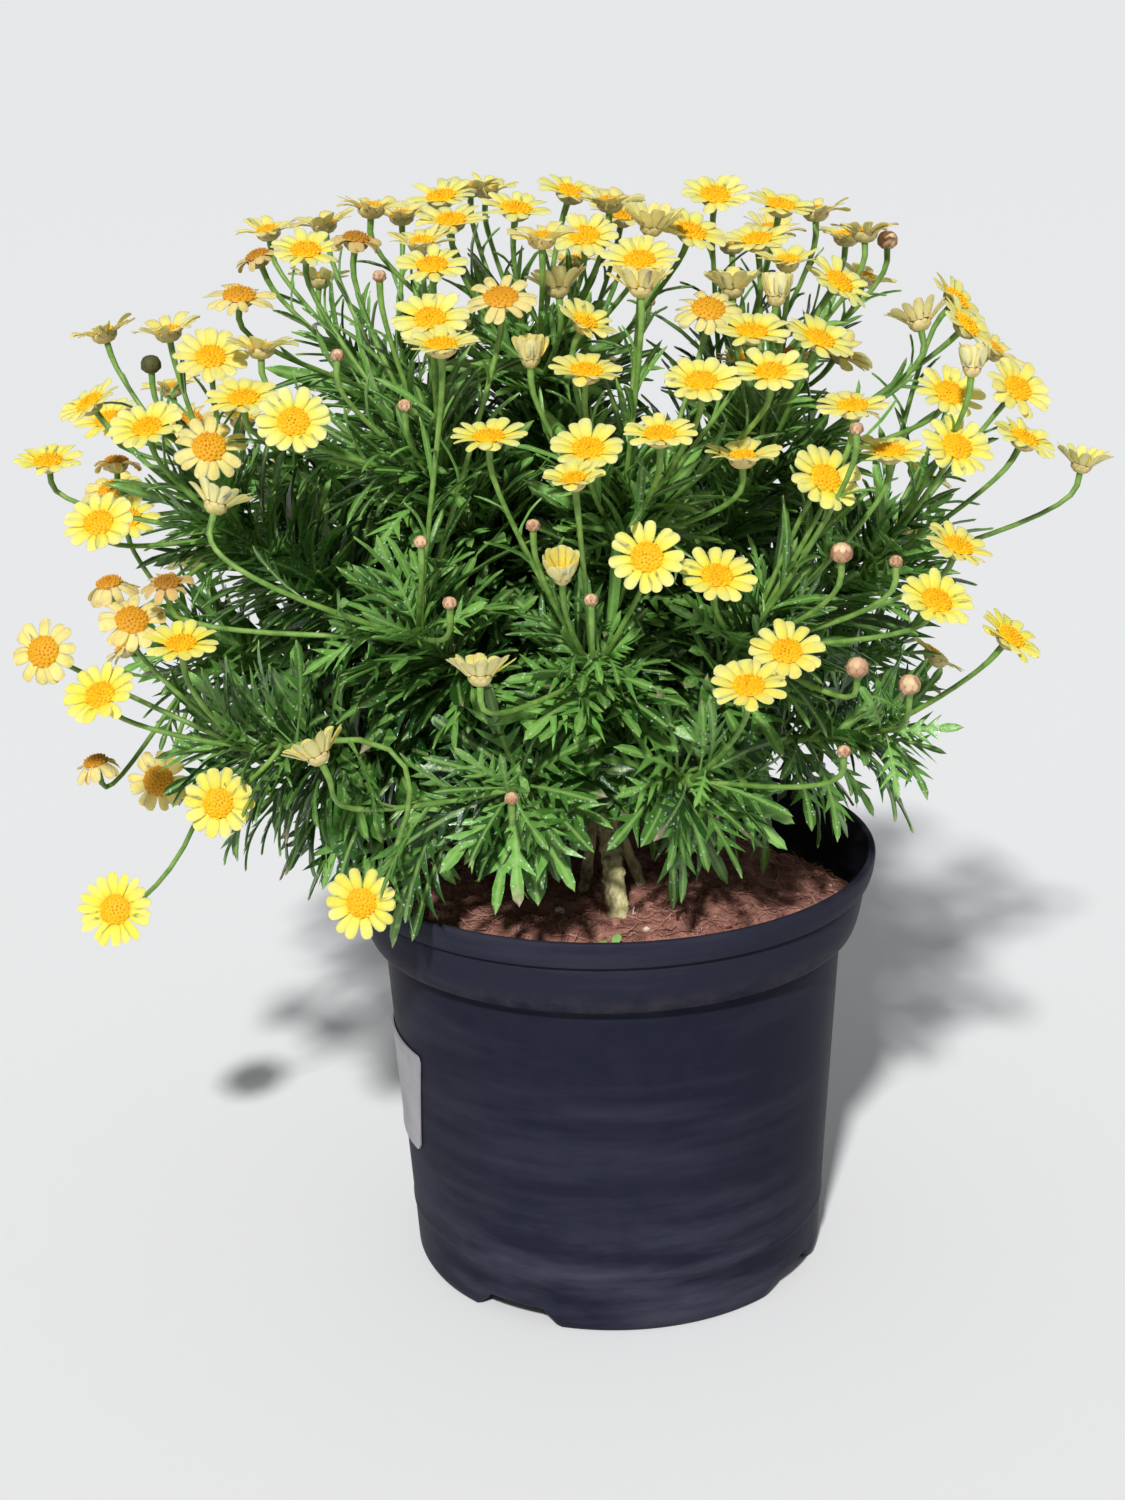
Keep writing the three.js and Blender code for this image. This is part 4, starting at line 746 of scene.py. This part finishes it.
nearest = np.argmin(np.linalg.norm(hung_leaves[:, None, :3] - shoot_tips, axis=-1), 1)
for index, (direction, length) in enumerate(zip(shoot_ways, shoot_lengths)):
    chance = np.random.default_rng([11, index])
    room = length - limb_length
    share, face, lean, size = leaf_seats.T
    seats = (share, index * seat_turn + np.radians((face + 0.5) * 72), np.radians(lean),
             seat_length * size)
    upper = spiral(int(room / cut_spacing + cut_more - 8 * direction[0]), 0.42, 1, index, chance)
    cut = seated(direction, length, *np.concatenate([seats, upper], 1), chance)
    over_rim = hung(hung_leaves[nearest == index], chance)
    cut = [np.concatenate(pair) for pair in zip(cut, over_rim)]
    inner = spiral(int(room / plain_spacing + plain_more - 44 * direction[0]), 0.2, 0.86,
                   index + 2, chance)
    plain = seated(direction, length, *inner[:3], inner[3] * 0.9, chance)
    low, high = crown + direction * (limb_length - 1), crown + direction * (length - 2.5)
    girth = np.linspace(stem_low, stem_high, 10)[:, None]
    name = f"{index + 1:02d}"
    # The plain inner leaves have a tint of at most 0.4: painted shade deep inside the foliage.
    make_piece("shoot_" + name, [
        leaf_skin(cut_blade, cut, chance), leaf_skin(plain_blade, plain, chance, 0.4),
        piped_skin(np.linspace(low, high, 10)[None], girth, 8, material=1)],
        [leaf_green, soft_stem], ["leafy_shoot_" + name], crease=75)

# The flower sprays: at each shoot's tip a small knob sends out thin green stalks, each with one
# head. A head is a cup of papery bracts, a ring of strap-shaped ray petals in two layers, and a
# dome of disc florets in a golden-angle spiral. Buds are egg-shaped and wrapped in bracts.
head_kinds = {  # reach, rise in degrees, petals, disc radius, crest, curl in degrees, age, ragged
    "open": (13.4, 16, 14, 6.5, 1.7, 16, 0.14, 0.6), "old": (13.4, 2, 13, 6.5, 2.5, 22, 0.5, 1.0),
    "wide": (15.8, 12, 18, 7.2, 2, 14, 0.1, 0.5),
    "turned": (13.2, 34, 13, 5.9, 1.5, 34, 0.35, 1.0), "small": (11.3, 24, 13, 5, 1.5, 12, 0.12, 0.5),
    "cup": (12.8, 46, 13, 4.9, 1.2, 8, 0.3, 0.6), "opening": (10.8, 68, 12, 3.8, 1.2, -12, 0.2, 0.3),
    "withered": (10.2, 10, 12, 5.4, 2.6, 60, 0.8, 1.8), "folded": (12, -30, 12, 5, 2.6, 34, 0.55, 1.2)}
bud_kinds = {"bud": (2.25, 0.0), "fatBud": (3.8, 0.3), "darkBud": (3.6, 1.0)}  # radius, age
stalk_bends = {0: (-178, -20, 186), 1: (-74, -119, 243), 2: (-129, -95, 251), 5: (-96, -131, 246),
               18: (-130, -118, 332)}  # the place half way along the stalk of a written-down head
near_heads = """
    wide -206 -15 162 65 -5, open -95 -105 198 70 0, open -147 -104 239 70 0,
    old -184 -15 218 70 0, folded -210 -10 225 5 -10, cup -105 -140 270 -12 -25,
    open -190 -95 280 38 -12, old -215 -70 290 60 -10, open -155 -115 305 14 0,
    old -175 -100 310 35 10, turned -150 20 310 10 10, folded -185 -85 320 5 -10,
    open -195 20 320 30 5, withered -160 -105 325 10 0, old -205 50 325 22 -5,
    open -190 -70 340 40 -5, withered -200 35 340 -10 0, open -220 -5 350 12 0,
    cup -140 -105 355 -22 15, open -205 50 355 20 -10, old -170 40 355 25 -10,
    turned -145 20 360 -5 5, turned -180 65 365 -5 -10, old -145 -80 370 45 5,
    open -170 -65 375 25 -5, open -200 -15 375 15 -28, open -110 -110 385 52 5,
    open -130 -90 390 17 0, darkBud -170 -45 395 0 0, turned -195 0 400 -8 -15,
    open -145 -60 400 35 5, turned -165 -30 405 0 -8, turned -125 -70 405 -8 0,
    bud -95 -90 405 0 5, turned -115 60 410 -12 5, old -135 -45 420 15 5,
    withered -135 20 425 0 -20, turned -135 60 430 5 -5, turned -110 40 435 -5 -8,
    open -110 -35 435 20 5, withered -90 -45 440 5 10, turned -50 25 450 -5 0,
    open -60 -5 450 12 -5, open -30 -45 450 12 8, turned -85 -30 450 -2 5, open -55 -35 445 14 0,
    turned -45 60 445 2 5, turned -65 -55 440 8 0, turned -80 60 435 0 0, open -60 -80 435 20 0,
    bud -80 -70 430 0 0, old -35 -95 425 25 0, open -60 -105 420 28 0, open -55 -130 415 8 0,
    bud -70 -110 390 10 0, open -40 -120 380 8 0, bud -65 -130 345 5 0, bud -55 -140 325 10 0,
    cup -45 -145 300 -15 0, bud -35 -150 255 15 0, open -10 0 450 12 18, turned 5 -30 450 0 5,
    cup 20 -60 445 0 8, turned -20 -85 445 2 0, open -5 -50 440 28 0, turned 10 40 435 12 10,
    open 15 -80 435 25 0, cup 15 -105 430 -5 0, cup -15 -70 425 -8 -5, small -5 -90 415 20 25,
    turned -10 60 415 0 0, opening -25 -100 405 5 0, open -5 -105 400 12 5, open 20 -145 385 12 0,
    open -5 -120 375 28 0, small -10 -145 370 10 -5, bud -25 -130 350 5 0, open 15 -140 340 55 -5,
    opening -15 -140 335 20 0, bud -5 -140 325 5 0, open 45 -20 450 25 5, open 70 -15 445 10 10,
    open 35 -45 440 20 20, turned 85 5 440 -8 0, open 60 -35 435 12 -5, small 70 -55 430 5 0,
    turned 70 30 430 5 10, turned 55 60 420 -5 0, cup 50 -50 420 -5 0, open 90 -45 420 25 30,
    opening 65 -70 420 -5 5, old 40 -70 415 28 5, open 55 -90 410 15 5, open 80 -80 405 20 20,
    open 60 -115 400 18 0, open 35 -130 400 22 0, small 55 -35 390 0 -5, withered 75 -5 385 15 0,
    open 90 -105 385 8 0, turned 50 -115 370 3 0, open 80 -110 360 45 20, turned 80 -15 340 0 -5,
    fatBud 85 -120 335 5 0, open 40 -130 330 30 5, open 65 -125 300 35 0, fatBud 90 -130 295 10 0,
    open 50 -150 295 25 0, bud 85 -135 265 10 0, turned 105 15 430 -10 0, turned 100 40 425 0 5,
    fatBud 115 25 425 0 0, turned 110 60 405 0 20, cup 120 -45 405 -20 -10, open 140 0 405 15 40,
    open 140 -30 400 20 42, opening 135 -85 395 -5 5, turned 95 5 385 20 30,
    open 130 -60 380 35 15, bud 90 -120 380 0 0, open 105 -90 365 10 0, open 130 -85 365 40 15,
    open 130 -95 330 18 18, bud 105 -115 330 0 0, open 120 -115 315 30 15, open 150 -95 295 20 32,
    fatBud 110 -120 285 10 0, turned 155 0 385 10 42, open 160 -30 375 40 25,
    open 160 -50 360 12 25, cup 190 -5 340 -5 12
"""
far_spiral, far_lowest, far_behind, far_spacing, far_facing = 90, -0.12, 25, 46, 0.45
far_shrink, far_right_shrink, heads_a_shoot = 0.95, 0.76, 11
far_kinds = ["open", "turned", "open", "old", "open", "cup", "open", "bud"]
stalk_cut = {"leans": (22, 52), "size": (26, 44)}  # degrees from the stalk, length
stalk_slim = {"leans": (12, 40), "size": (30, 54)}
cut_apart, slim_apart = 24, 12  # length of stalk for each leaf
slim_above, slim_least = 370, 50  # higher heads with a longer stalk have narrow leaves too
slim_blade = np.array([[0, 0.02, 0], [0.25, 0.042, 4], [0.6, 0.05, 4], [0.84, 0.036, 4], [1, 0.005, 0]])
knob_profile = [[1.6, -4.2], [2.6, -2.6], [3.0, -0.6], [2.5, 1.4], [1.2, 2.8]]
draw_share, draw_most, hook_length = 0.3, 14, 9
stalk_rows, stalk_corners, stalk_radius, cup_depth, neck_length = 13, 7, 1.05, 4.5, 5
petal_rows = np.array([[0, 0.6], [0.2, 0.84], [0.45, 0.97], [0.7, 1.0], [0.88, 0.84], [1, 0.46]])
petal_place = np.array([1, 0.45, -0.45, -1, -0.45, 0.45])
petal_face = np.array([0, 1, 1, 0, -1, -1])
petal_half, petal_width, petal_spare, floret_count = 0.24, 2.95, 0.16, 56


def near_places():
    """Kind, place and axis of the heads written down: an axis nods forwards and sways aside."""
    rows = [row.split() for row in near_heads.split(",") if row.strip()]
    kinds = [row[0] for row in rows]
    values = np.array([row[1:] for row in rows], float)
    nod, sway = np.radians(values[:, 3]), np.radians(values[:, 4])
    return kinds, values[:, :3], xyz(np.sin(sway), -np.sin(nod) * np.cos(sway),
                                     np.cos(nod) * np.cos(sway))


def all_heads():
    """The heads written down, and those of the far side: a golden-angle spiral over the dome,
    without those in front of it or too near to a head that is there."""
    kinds, places, axes = near_places()
    i = np.arange(far_spiral)
    lift = np.degrees(np.arcsin(far_lowest + (1 - far_lowest) * (i + 0.5) / far_spiral))
    outward = heading(golden * i, lift)
    size = np.array([dome_size["across"], dome_size["back"], dome_size["up"]])
    found = outward * size * far_shrink
    found[:, 0] *= np.where(outward[:, 0] > 0, far_right_shrink, 1)
    found = found + dome_centre
    gap = np.linalg.norm(found[:, None] - places[None], axis=-1).min(1)
    kept = (found[:, 1] >= far_behind) & (gap >= far_spacing)
    facing = unit((1 - far_facing) * np.array([0, 0, 1]) + far_facing * outward[kept])
    kinds = kinds + [far_kinds[n % len(far_kinds)] for n in range(kept.sum())]
    return kinds, np.concatenate([places, found[kept]]), np.concatenate([axes, facing])


def shared_out(places):
    """For each head the shoot that bears it: the pair most in line first, a few to each shoot."""
    fit = unit(places - crown) @ shoot_ways.T
    bearer, load = np.full(len(places), -1), np.zeros(len(shoot_ways), int)
    for pair in np.argsort(-fit, axis=None, kind="stable"):
        head, shoot = divmod(int(pair), len(shoot_ways))
        if bearer[head] < 0 and load[shoot] < heads_a_shoot:
            bearer[head], load[shoot] = shoot, load[shoot] + 1
    return bearer


def head_frame(place, axis, spin):
    """Turns (aside, other, up) of a head into places, its axis up."""
    first, second = standing(axis, np.array([0.23, 0.91, 0.34]))
    turned = first * np.cos(spin) + second * np.sin(spin)
    return np.stack([turned, np.cross(axis, turned), axis]), place


def carried(local, basis):
    """Places (aside, other, up) of a head in the plant: local · basis + the head's own place."""
    return local @ basis[0] + basis[1]


def lathe(profile, corners, basis, **marks):
    """A profile of (radius, height) turned round a head's axis, shut at both ends."""
    profile = np.asarray(profile, float)
    rings = carried(carried_round(profile, corners), basis)[None]
    ends = carried(np.array([[0, 0, profile[0, 1]], [0, 0, profile[-1, 1]]]), basis)[None]
    return tubes(rings, ends, **marks)


def steepness(rise):
    """How far rays stand up: their rise over 45 degrees, from 0 to 1."""
    return float(np.clip(rise / 45, 0, 1))


def turned_out(out, aside, up, turn):
    """Places so far out from an axis and aside of that way, each copy turned about the axis by a:
    x = out cos a + aside sin a, y = out sin a - aside cos a."""
    c, s = np.cos(turn)[:, None, None], np.sin(turn)[:, None, None]
    return xyz(out * c + aside * s, out * s - aside * c, up)


def petals(kind, size, basis, chance):
    """Rays whose slope falls from rise by curl along them: the middle line adds up
    (cos a, sin a) dt with a = rise - curl t. Each is bent across and twisted a little."""
    reach, rise, count, disc, _, curl, _, ragged = head_kinds[kind]
    loose = chance.uniform(-1, 1, (count, 7))
    turn = (np.arange(count) + 0.16 * (1 + ragged) * loose[:, 0]) * 2 * np.pi / count
    t, share = petal_rows[:, 0], petal_rows[:, 1]
    slope = np.radians(rise + 6 * (1 + ragged) * loose[:, 1:2]
                       - (curl + 14 * ragged * loose[:, 2:3]) * t)
    length = (reach * size - disc * 0.72) * (1 + 0.07 * loose[:, 3:4])
    step = np.diff(t, prepend=0)
    mean = (slope + np.roll(slope, 1, 1)) / 2
    mean[:, 0] = slope[:, 0]
    out = disc * (0.74 + 0.24 * steepness(rise)) + length * np.cumsum(np.cos(mean) * step, 1)
    high = (np.arange(count) % 2)[:, None] * 0.45 - 0.5 + length * np.cumsum(np.sin(mean) * step, 1)
    twist = 0.35 * (0.4 + ragged) * loose[:, 4:5] * t
    narrow = (1 - petal_spare * chance.uniform()) * (1 - 0.14 * min(ragged, 1) * (loose[:, 5:6] + 1))
    width = petal_width * size * narrow * share
    aside = petal_place * width[..., None]
    bow = (0.1 + 0.28 * loose[:, 6])[:, None, None] * aside**2 / petal_width
    over = petal_half * petal_face * np.clip(1.2 - t, 0.55, 1)[:, None] + bow
    level, lift = np.cos(twist)[..., None], np.sin(twist)[..., None]
    side, over = aside * level - over * lift, over * level + aside * lift
    a = slope[..., None]
    forward = np.where(t == 1, -0.12, 0)[:, None] * np.abs(petal_place) * petal_width
    radial = out[..., None] + forward * np.cos(a) - over * np.sin(a)
    up = high[..., None] + forward * np.sin(a) + over * np.cos(a)
    points = carried(turned_out(radial, side, up, turn), basis)
    return points, np.stack([points[:, 0].mean(1), points[:, -1].mean(1)], 1)


def dome_height(share, crest):
    """Height of the disc at a share of its radius: crest √(1 - share²), sunk by a tenth."""
    return crest * np.sqrt(np.clip(1 - share**2, 0, 1)) - 0.1


def florets(disc, crest, size, basis, chance, age):
    """Disc florets: four-sided beads on a golden-angle spiral, larger and opened further out."""
    i = np.arange(floret_count)
    share, angle = np.sqrt((i + 0.5) / floret_count), np.radians(golden) * i
    out, up = xyz(np.cos(angle), np.sin(angle), 0), np.array([0, 0, 1.0])
    lean = 0.95 * share[:, None]
    along = unit(up * np.cos(lean) + out * np.sin(lean))
    root = out * (disc * 0.96 * share)[:, None] + up * dome_height(share, crest)[:, None]
    first = xyz(-np.sin(angle), np.cos(angle), 0)
    wide = size * (0.5 + 0.24 * share + 0.08 * chance.uniform(-1, 1, floret_count))[:, None, None]
    around = (np.arange(4) * np.pi / 2)[None, :, None] + angle[:, None, None]
    ring = root[:, None] + wide * (first[:, None] * np.cos(around)
                                   + np.cross(along, first)[:, None] * np.sin(around))
    tall = (0.75 + 0.35 * chance.random(floret_count))[:, None]
    ends = np.stack([root - along * 0.4, root + along * tall * size], 1)
    return tubes(carried((ring + along[:, None] * 0.2)[:, None], basis), carried(ends, basis), 1, age=age,
                 along=share[:, None, None], tint=chance.random((floret_count, 1, 1)))


def scales(radius_at, rows, count, width, basis, chance, **marks):
    """Bracts in overlapping rows: kite-shaped blades that lie on a turned form. Each row is a
    pair (low, high), shares of the form's height, and radius_at gives (radius, height) there."""
    skins = []
    for n, (low, high) in enumerate(rows):
        turn = (np.arange(count) + 0.5 * (n % 2) + 0.1 * chance.uniform(-1, 1, count)) * 2 * np.pi / count
        t = np.array([0.1, 0.6])[:, None]
        radius, height = radius_at(low + (high - low) * t)
        v, f, wide = np.array([1, 0, -1, 0]), np.array([0, 1, 0, -1]), width * np.array([[0.9], [0.85]])
        proud = 0.12 + 0.3 * t + 0.16 * f - 0.12 * np.abs(v) * wide
        rings = turned_out(radius + proud, wide * v, height, turn)
        tip_radius, tip_height = radius_at(np.array([low - 0.02, high]))
        tip_radius, turn = tip_radius + [0.0, 0.45], turn[:, None]
        tips = xyz(tip_radius * np.cos(turn), tip_radius * np.sin(turn), tip_height)
        skins.append(tubes(carried(rings, basis), carried(tips, basis), 2, along=t,
                           tint=chance.random((count, 1, 1)), **marks))
    return skins


def grown_head(kind, size, basis, chance, age):
    """The petals, disc and cup of one head, its origin where the petals leave it. On the cup,
    the radius goes from place to place of its profile and the height grows evenly."""
    _, rise, _, disc, crest, *_ = head_kinds[kind]
    bed = disc * (1 - 0.3 * steepness(rise))
    cup = np.array([[1.15, -4.6], [disc * 0.45, -4.2], [disc * 0.7, -3.0], [disc * 0.82, -1.6],
                    [disc * 0.84, -0.5]])

    def on_cup(share):
        return np.interp(share, [0, 0.1, 0.35, 0.7, 1], cup[:, 0]), -4.6 + 4.3 * np.asarray(share)

    points, ends = petals(kind, size, basis, chance)
    # Heads are painted creamier the higher they stand: painted light over the top of the dome; the rest of
    # the tint is random.
    painted_light_on_high_heads = np.clip((basis[1][2] - 230) / 220, 0, 1) * 0.6
    dome = [[bed * 0.7, -0.9]] + [[bed * share, dome_height(share, crest)]
                                  for share in (0.99, 0.85, 0.6, 0.3)]
    return [tubes(points, ends, age=age, tint=painted_light_on_high_heads + chance.uniform(0, 0.4, (len(points), 1, 1)),
                  along=petal_rows[:, :1], across=np.abs(petal_place), under=(1 - petal_face) / 2),
            lathe(dome, 12, basis, material=1, age=age, along=0.6, tint=0.3),
            florets(bed, crest, size, basis, chance, age),
            lathe(cup, 12, basis, material=2, age=age, along=0.3, tint=0.3),
            *scales(on_cup, [(0.05, 0.7), (0.35, 1.12)], 9, disc * 0.3, basis, chance, age=age)]


def grown_bud(kind, basis, chance):
    """An egg-shaped bud whose bracts overlap in rows and part a little at the tip: at an angle a
    from -90 to 90 degrees its radius is r cos^0.8 a (1 - sin a / 10) and its height d sin a."""
    radius, age = bud_kinds[kind]
    depth = radius * 0.95

    def on_bud(share):
        angle = (np.clip(share, 0, 1) - 0.5) * np.pi
        return radius * np.cos(angle) ** 0.8 * (1 - 0.1 * np.sin(angle)), depth * np.sin(angle)

    share = np.array([0.04, 0.15, 0.32, 0.5, 0.68, 0.84, 0.95])
    body = lathe(np.stack(on_bud(share), -1), 12, basis, material=2, age=age,
                 along=0.5 + 0.5 * share[:, None], tint=0.6, across=1.0)
    return [body, *scales(on_bud, [(0.08, 0.5), (0.3, 0.74), (0.52, 0.93)], 8, radius * 0.36, basis,
                          chance, age=age, across=1.0)]


def seats_up(way, share, chance):
    """Places on a stalk at shares of its length, and for each the stalk's direction there and
    the direction straight out of it, turned by the golden angle from one to the next."""
    spot = share * (len(way) - 2)
    row = spot.astype(int)
    start = way[row] + (way[row + 1] - way[row]) * (spot - row)[:, None]
    along = unit(way[row + 1] - way[row])
    first, second = standing(along, np.array([0.31, 0.17, 0.93]))
    turn = (np.radians(golden) * np.arange(len(share)) + chance.uniform(0, 6))[:, None]
    return start, along, unit(first) * np.cos(turn) + second * np.sin(turn)


def stalk_leaves(shape, way, share, chance, leans, size):
    """Leaves up a stalk, leaning out of it by angles between the two given."""
    start, along, outward = seats_up(way, share, chance)
    lean = np.radians(chance.uniform(*leans, len(share)))[:, None]
    aim = unit(along * np.cos(lean) + outward * np.sin(lean))
    face = along * np.sin(lean) - outward * np.cos(lean)
    far = np.linalg.norm(way[-1] - way[0])
    size = np.minimum(chance.uniform(*size, len(share)) * (1.1 - share), 0.55 * far + 8)
    return leaf_skin(shape, (start, aim, face, size, np.radians(chance.uniform(15, 45, len(share))),
                             chance.uniform(-0.6, 0.6, len(share))), chance, material=4)


def stalk_way(tip, direction, place, axis, depth, half_way=None):
    """From the knob to the head: a Bezier curve out along the shoot's own way and in towards the
    neck along the head's axis. For a bent one its place half way, (start + 3 first + 3 last +
    neck) / 8, is given, and the first place that draws it is worked out from that."""
    neck = place - axis * (depth + neck_length)
    outward = unit(0.6 * unit(neck - tip) + 0.4 * direction)
    draw = min(draw_most, draw_share * np.linalg.norm(neck - tip))
    start, first, last = tip + outward * 1.6, tip + outward * draw, neck - axis * draw
    if half_way is not None:
        last = neck - axis * hook_length
        first = (8 * np.array(half_way) - start - neck) / 3 - last
    way = curve([start, first, last, neck], stalk_rows - 1)
    square = unit(np.cross(unit(neck - tip), axis) + [0.013, 0.017, 0.011])
    return np.concatenate([way, [place - axis * (depth - 0.7)]]), square


petal, tree, shader = new_material("ray_petal", {
    "Roughness": 0.55, "Specular IOR Level": 0.3, "Subsurface Weight": 0.75,
    "Subsurface Radius": (1, 0.8, 0.35), "Subsurface Scale": 0.0015})
age, tint, along, across, under = marks_on(tree, "age", "tint", "along", "across", "under")
# A higher tint is creamier; on petals it carries painted light on the higher heads as well as random tone.
young = blend(tint, (0.93, 0.73, 0.05), (0.94, 0.82, 0.2))
tipped = blend(times(spread(along, 0.35, 1.0), spread(tint, 0.0, 0.7, 0.12, 0.85)), young,
               (0.95, 0.86, 0.34))
rooted = blend(spread(along, 0.4, 0.0, 0.0, 0.8), tipped, (0.93, 0.62, 0.02))
# Undersides are made paler: partly their own paler colour, partly painted light standing in for light
# shining through the petals.
pale = blend(spread(under, 0.5, 1.0, 0.0, 0.7), rooted, (0.97, 0.86, 0.5))
bleached = blend(spread(age, 0.15, 0.65), pale, (0.86, 0.66, 0.26))
at_tip = times(spread(along, 0.45, 1.0, 0.15, 1.0), spread(age, 0.05, 0.8, 0.2, 1.0))
rimmed = times(spread(across, 0.8, 1.0, 0.0, 0.75), spread(maths("ADD", age, times(under, 0.5)), 0.1, 0.7))
browned = maths("MAXIMUM", times(at_tip, patchy(tree, 240, 0.4, 0.68)),
                maths("MAXIMUM", rimmed, spread(age, 0.65, 1.0)))
groove = times(spread(maths("ABSOLUTE", maths("SUBTRACT", across, 0.42)), 0.14, 0.0), -0.9)
fill(shader, tree, {"Base Color": blend(browned, bleached, (0.42, 0.2, 0.07)),
                    "Normal": bumpy(tree, 900, Strength=0.35, Depth=0.0003, Height=groove)})

disc_floret, tree, shader = new_material("disc_floret", {"Roughness": 0.6, "Specular IOR Level": 0.3})
age, tint, along = marks_on(tree, "age", "tint", "along")
pollen = blend(tint, (0.86, 0.4, 0.003), (0.96, 0.62, 0.01))
centre = blend(spread(along, 0.4, 0.0, 0.0, 0.6), pollen, (0.75, 0.5, 0.02))
tired = blend(spread(age, 0.3, 0.7), centre, (0.62, 0.28, 0.02))
fill(shader, tree, {"Base Color": blend(spread(age, 0.72, 1.0), tired, (0.12, 0.06, 0.02)),
                    "Normal": bumpy(tree, 1500)})

bract, tree, shader = new_material("papery_bract", {"Roughness": 0.6, "Specular IOR Level": 0.3})
age, tint, along, across = marks_on(tree, "age", "tint", "along", "across")
green = blend(tint, (0.48, 0.46, 0.13), (0.82, 0.66, 0.3))
papery = blend(spread(along, 0.4, 0.8), green, (0.84, 0.62, 0.34))
tan = blend(tint, (0.4, 0.18, 0.1), (0.8, 0.56, 0.34))
edged = blend(spread(along, 0.6, 0.85), tan, (0.68, 0.45, 0.28))
closed = blend(spread(along, 0.0, 0.35), (0.16, 0.15, 0.05), edged)
fill(shader, tree, {"Base Color": blend(spread(age, 0.7, 1.0), blend(across, papery, closed),
                                        (0.075, 0.08, 0.024)),
                    "Normal": bumpy(tree, 900)})

kinds, places, axes = all_heads()
bearers = shared_out(places)
for index, (direction, tip) in enumerate(zip(shoot_ways, shoot_tips)):
    chance = np.random.default_rng([17, index])
    skins = [lathe(knob_profile, 10, head_frame(tip, direction, 0.4), material=3, along=0.3, tint=0.3)]
    for n in np.flatnonzero(bearers == index):
        kind, place, axis = kinds[n], places[n], axes[n]
        is_bud = kind in bud_kinds
        age = bud_kinds[kind][1] if is_bud else np.clip(
            head_kinds[kind][6] + chance.uniform(-0.1, 0.12), 0, 1)
        basis = head_frame(place, axis, chance.uniform(0, 2 * np.pi))
        depth = bud_kinds[kind][0] * 0.9 if is_bud else cup_depth
        way, square = stalk_way(tip, direction, place, axis, depth, stalk_bends.get(n))
        girth = stalk_radius * np.interp(np.arange(stalk_rows), [0, 3, 9, stalk_rows - 1],
                                         [1.25, 1, 0.95, 1.3])[:, None]
        skins.append(piped_skin(way[None], girth, stalk_corners, square, material=3, age=age,
                                along=np.linspace(0, 1, stalk_rows)[:, None], tint=chance.random()))
        skins += (grown_bud(kind, basis, chance) if is_bud
                  else grown_head(kind, chance.uniform(0.95, 1.03), basis, chance, age))
        far = np.linalg.norm(way[-1] - way[0])
        share = 0.06 + 0.1 * np.arange(int(np.clip(far / cut_apart, 1, 3)))
        skins.append(stalk_leaves(cut_blade, way, share, chance, **stalk_cut))
        if place[2] > slim_above and far > slim_least:
            share = np.linspace(0.1, 0.74, int(np.clip(far / slim_apart, 4, 9)))
            skins.append(stalk_leaves(slim_blade, way, share, np.random.default_rng([19, n]),
                                      **stalk_slim))
    name = f"{index + 1:02d}"
    make_piece("spray_" + name, skins, [petal, disc_floret, bract, soft_stem, leaf_green],
               ["flower_spray_" + name], crease=60)

# A large pale floor, a near-white surround and one soft light from the upper left of the
# camera. The camera looks down a little, as in the photograph.
camera_place, camera_turn, camera_pitch, camera_roll = (0, -1.0949, 0.587), -0.99, 18.4, -1.52
camera_lens, film_width = 67.2, 36

floor_mesh = bpy.data.meshes.new("floor")
floor_mesh.from_pydata([(-60, -60, 0), (60, -60, 0), (60, 60, 0), (-60, 60, 0)], [], [(0, 1, 2, 3)])
floor = bpy.data.objects.new("floor", floor_mesh)
bpy.context.scene.collection.objects.link(floor)
white, tree, shader = new_material("pale_floor", {"Base Color": (0.85, 0.85, 0.85), "Roughness": 0.9})
floor_mesh.materials.append(white)

sun = bpy.data.lights.new("key_light", "SUN")
sun.energy, sun.angle = 3.4, math.radians(4)
lamp = bpy.data.objects.new("key_light", sun)
lamp.rotation_euler = Vector((0.14, 0.92, -0.82)).to_track_quat("-Z", "Y").to_euler()
bpy.context.scene.collection.objects.link(lamp)

world = bpy.data.worlds.new("surround")
world.use_nodes = True
sky = world.node_tree.nodes["Background"]
fill(sky, world.node_tree, {"Color": (0.93, 0.96, 1), "Strength": 0.27})
blank = add_node(world.node_tree, "Background", {"Color": (0.95, 0.96, 0.97), "Strength": 0.95})
seen = add_node(world.node_tree, "LightPath").outputs["Is Camera Ray"]
shown = add_node(world.node_tree, "MixShader", {0: seen, 1: sky.outputs[0], 2: blank.outputs[0]})
fill(world.node_tree.nodes["World Output"], world.node_tree, {"Surface": shown.outputs[0]})
bpy.context.scene.world = world
bpy.context.scene.view_settings.view_transform = "Standard"

turn, pitch, roll = (math.radians(value) for value in (camera_turn, camera_pitch, camera_roll))
forward = Vector((math.sin(turn) * math.cos(pitch), math.cos(turn) * math.cos(pitch),
                  -math.sin(pitch)))
right = Vector((math.cos(turn), -math.sin(turn), 0))
above = right.cross(forward)
across = right * math.cos(roll) + above * math.sin(roll)
upward = above * math.cos(roll) - right * math.sin(roll)
lens = bpy.data.cameras.new("camera")
lens.lens, lens.sensor_width, lens.clip_start, lens.clip_end = camera_lens, film_width, 0.05, 20
camera = bpy.data.objects.new("camera", lens)
camera.matrix_world = Matrix((across, upward, -forward)).transposed().to_4x4()
camera.location = camera_place
bpy.context.scene.collection.objects.link(camera)
bpy.context.scene.camera = camera
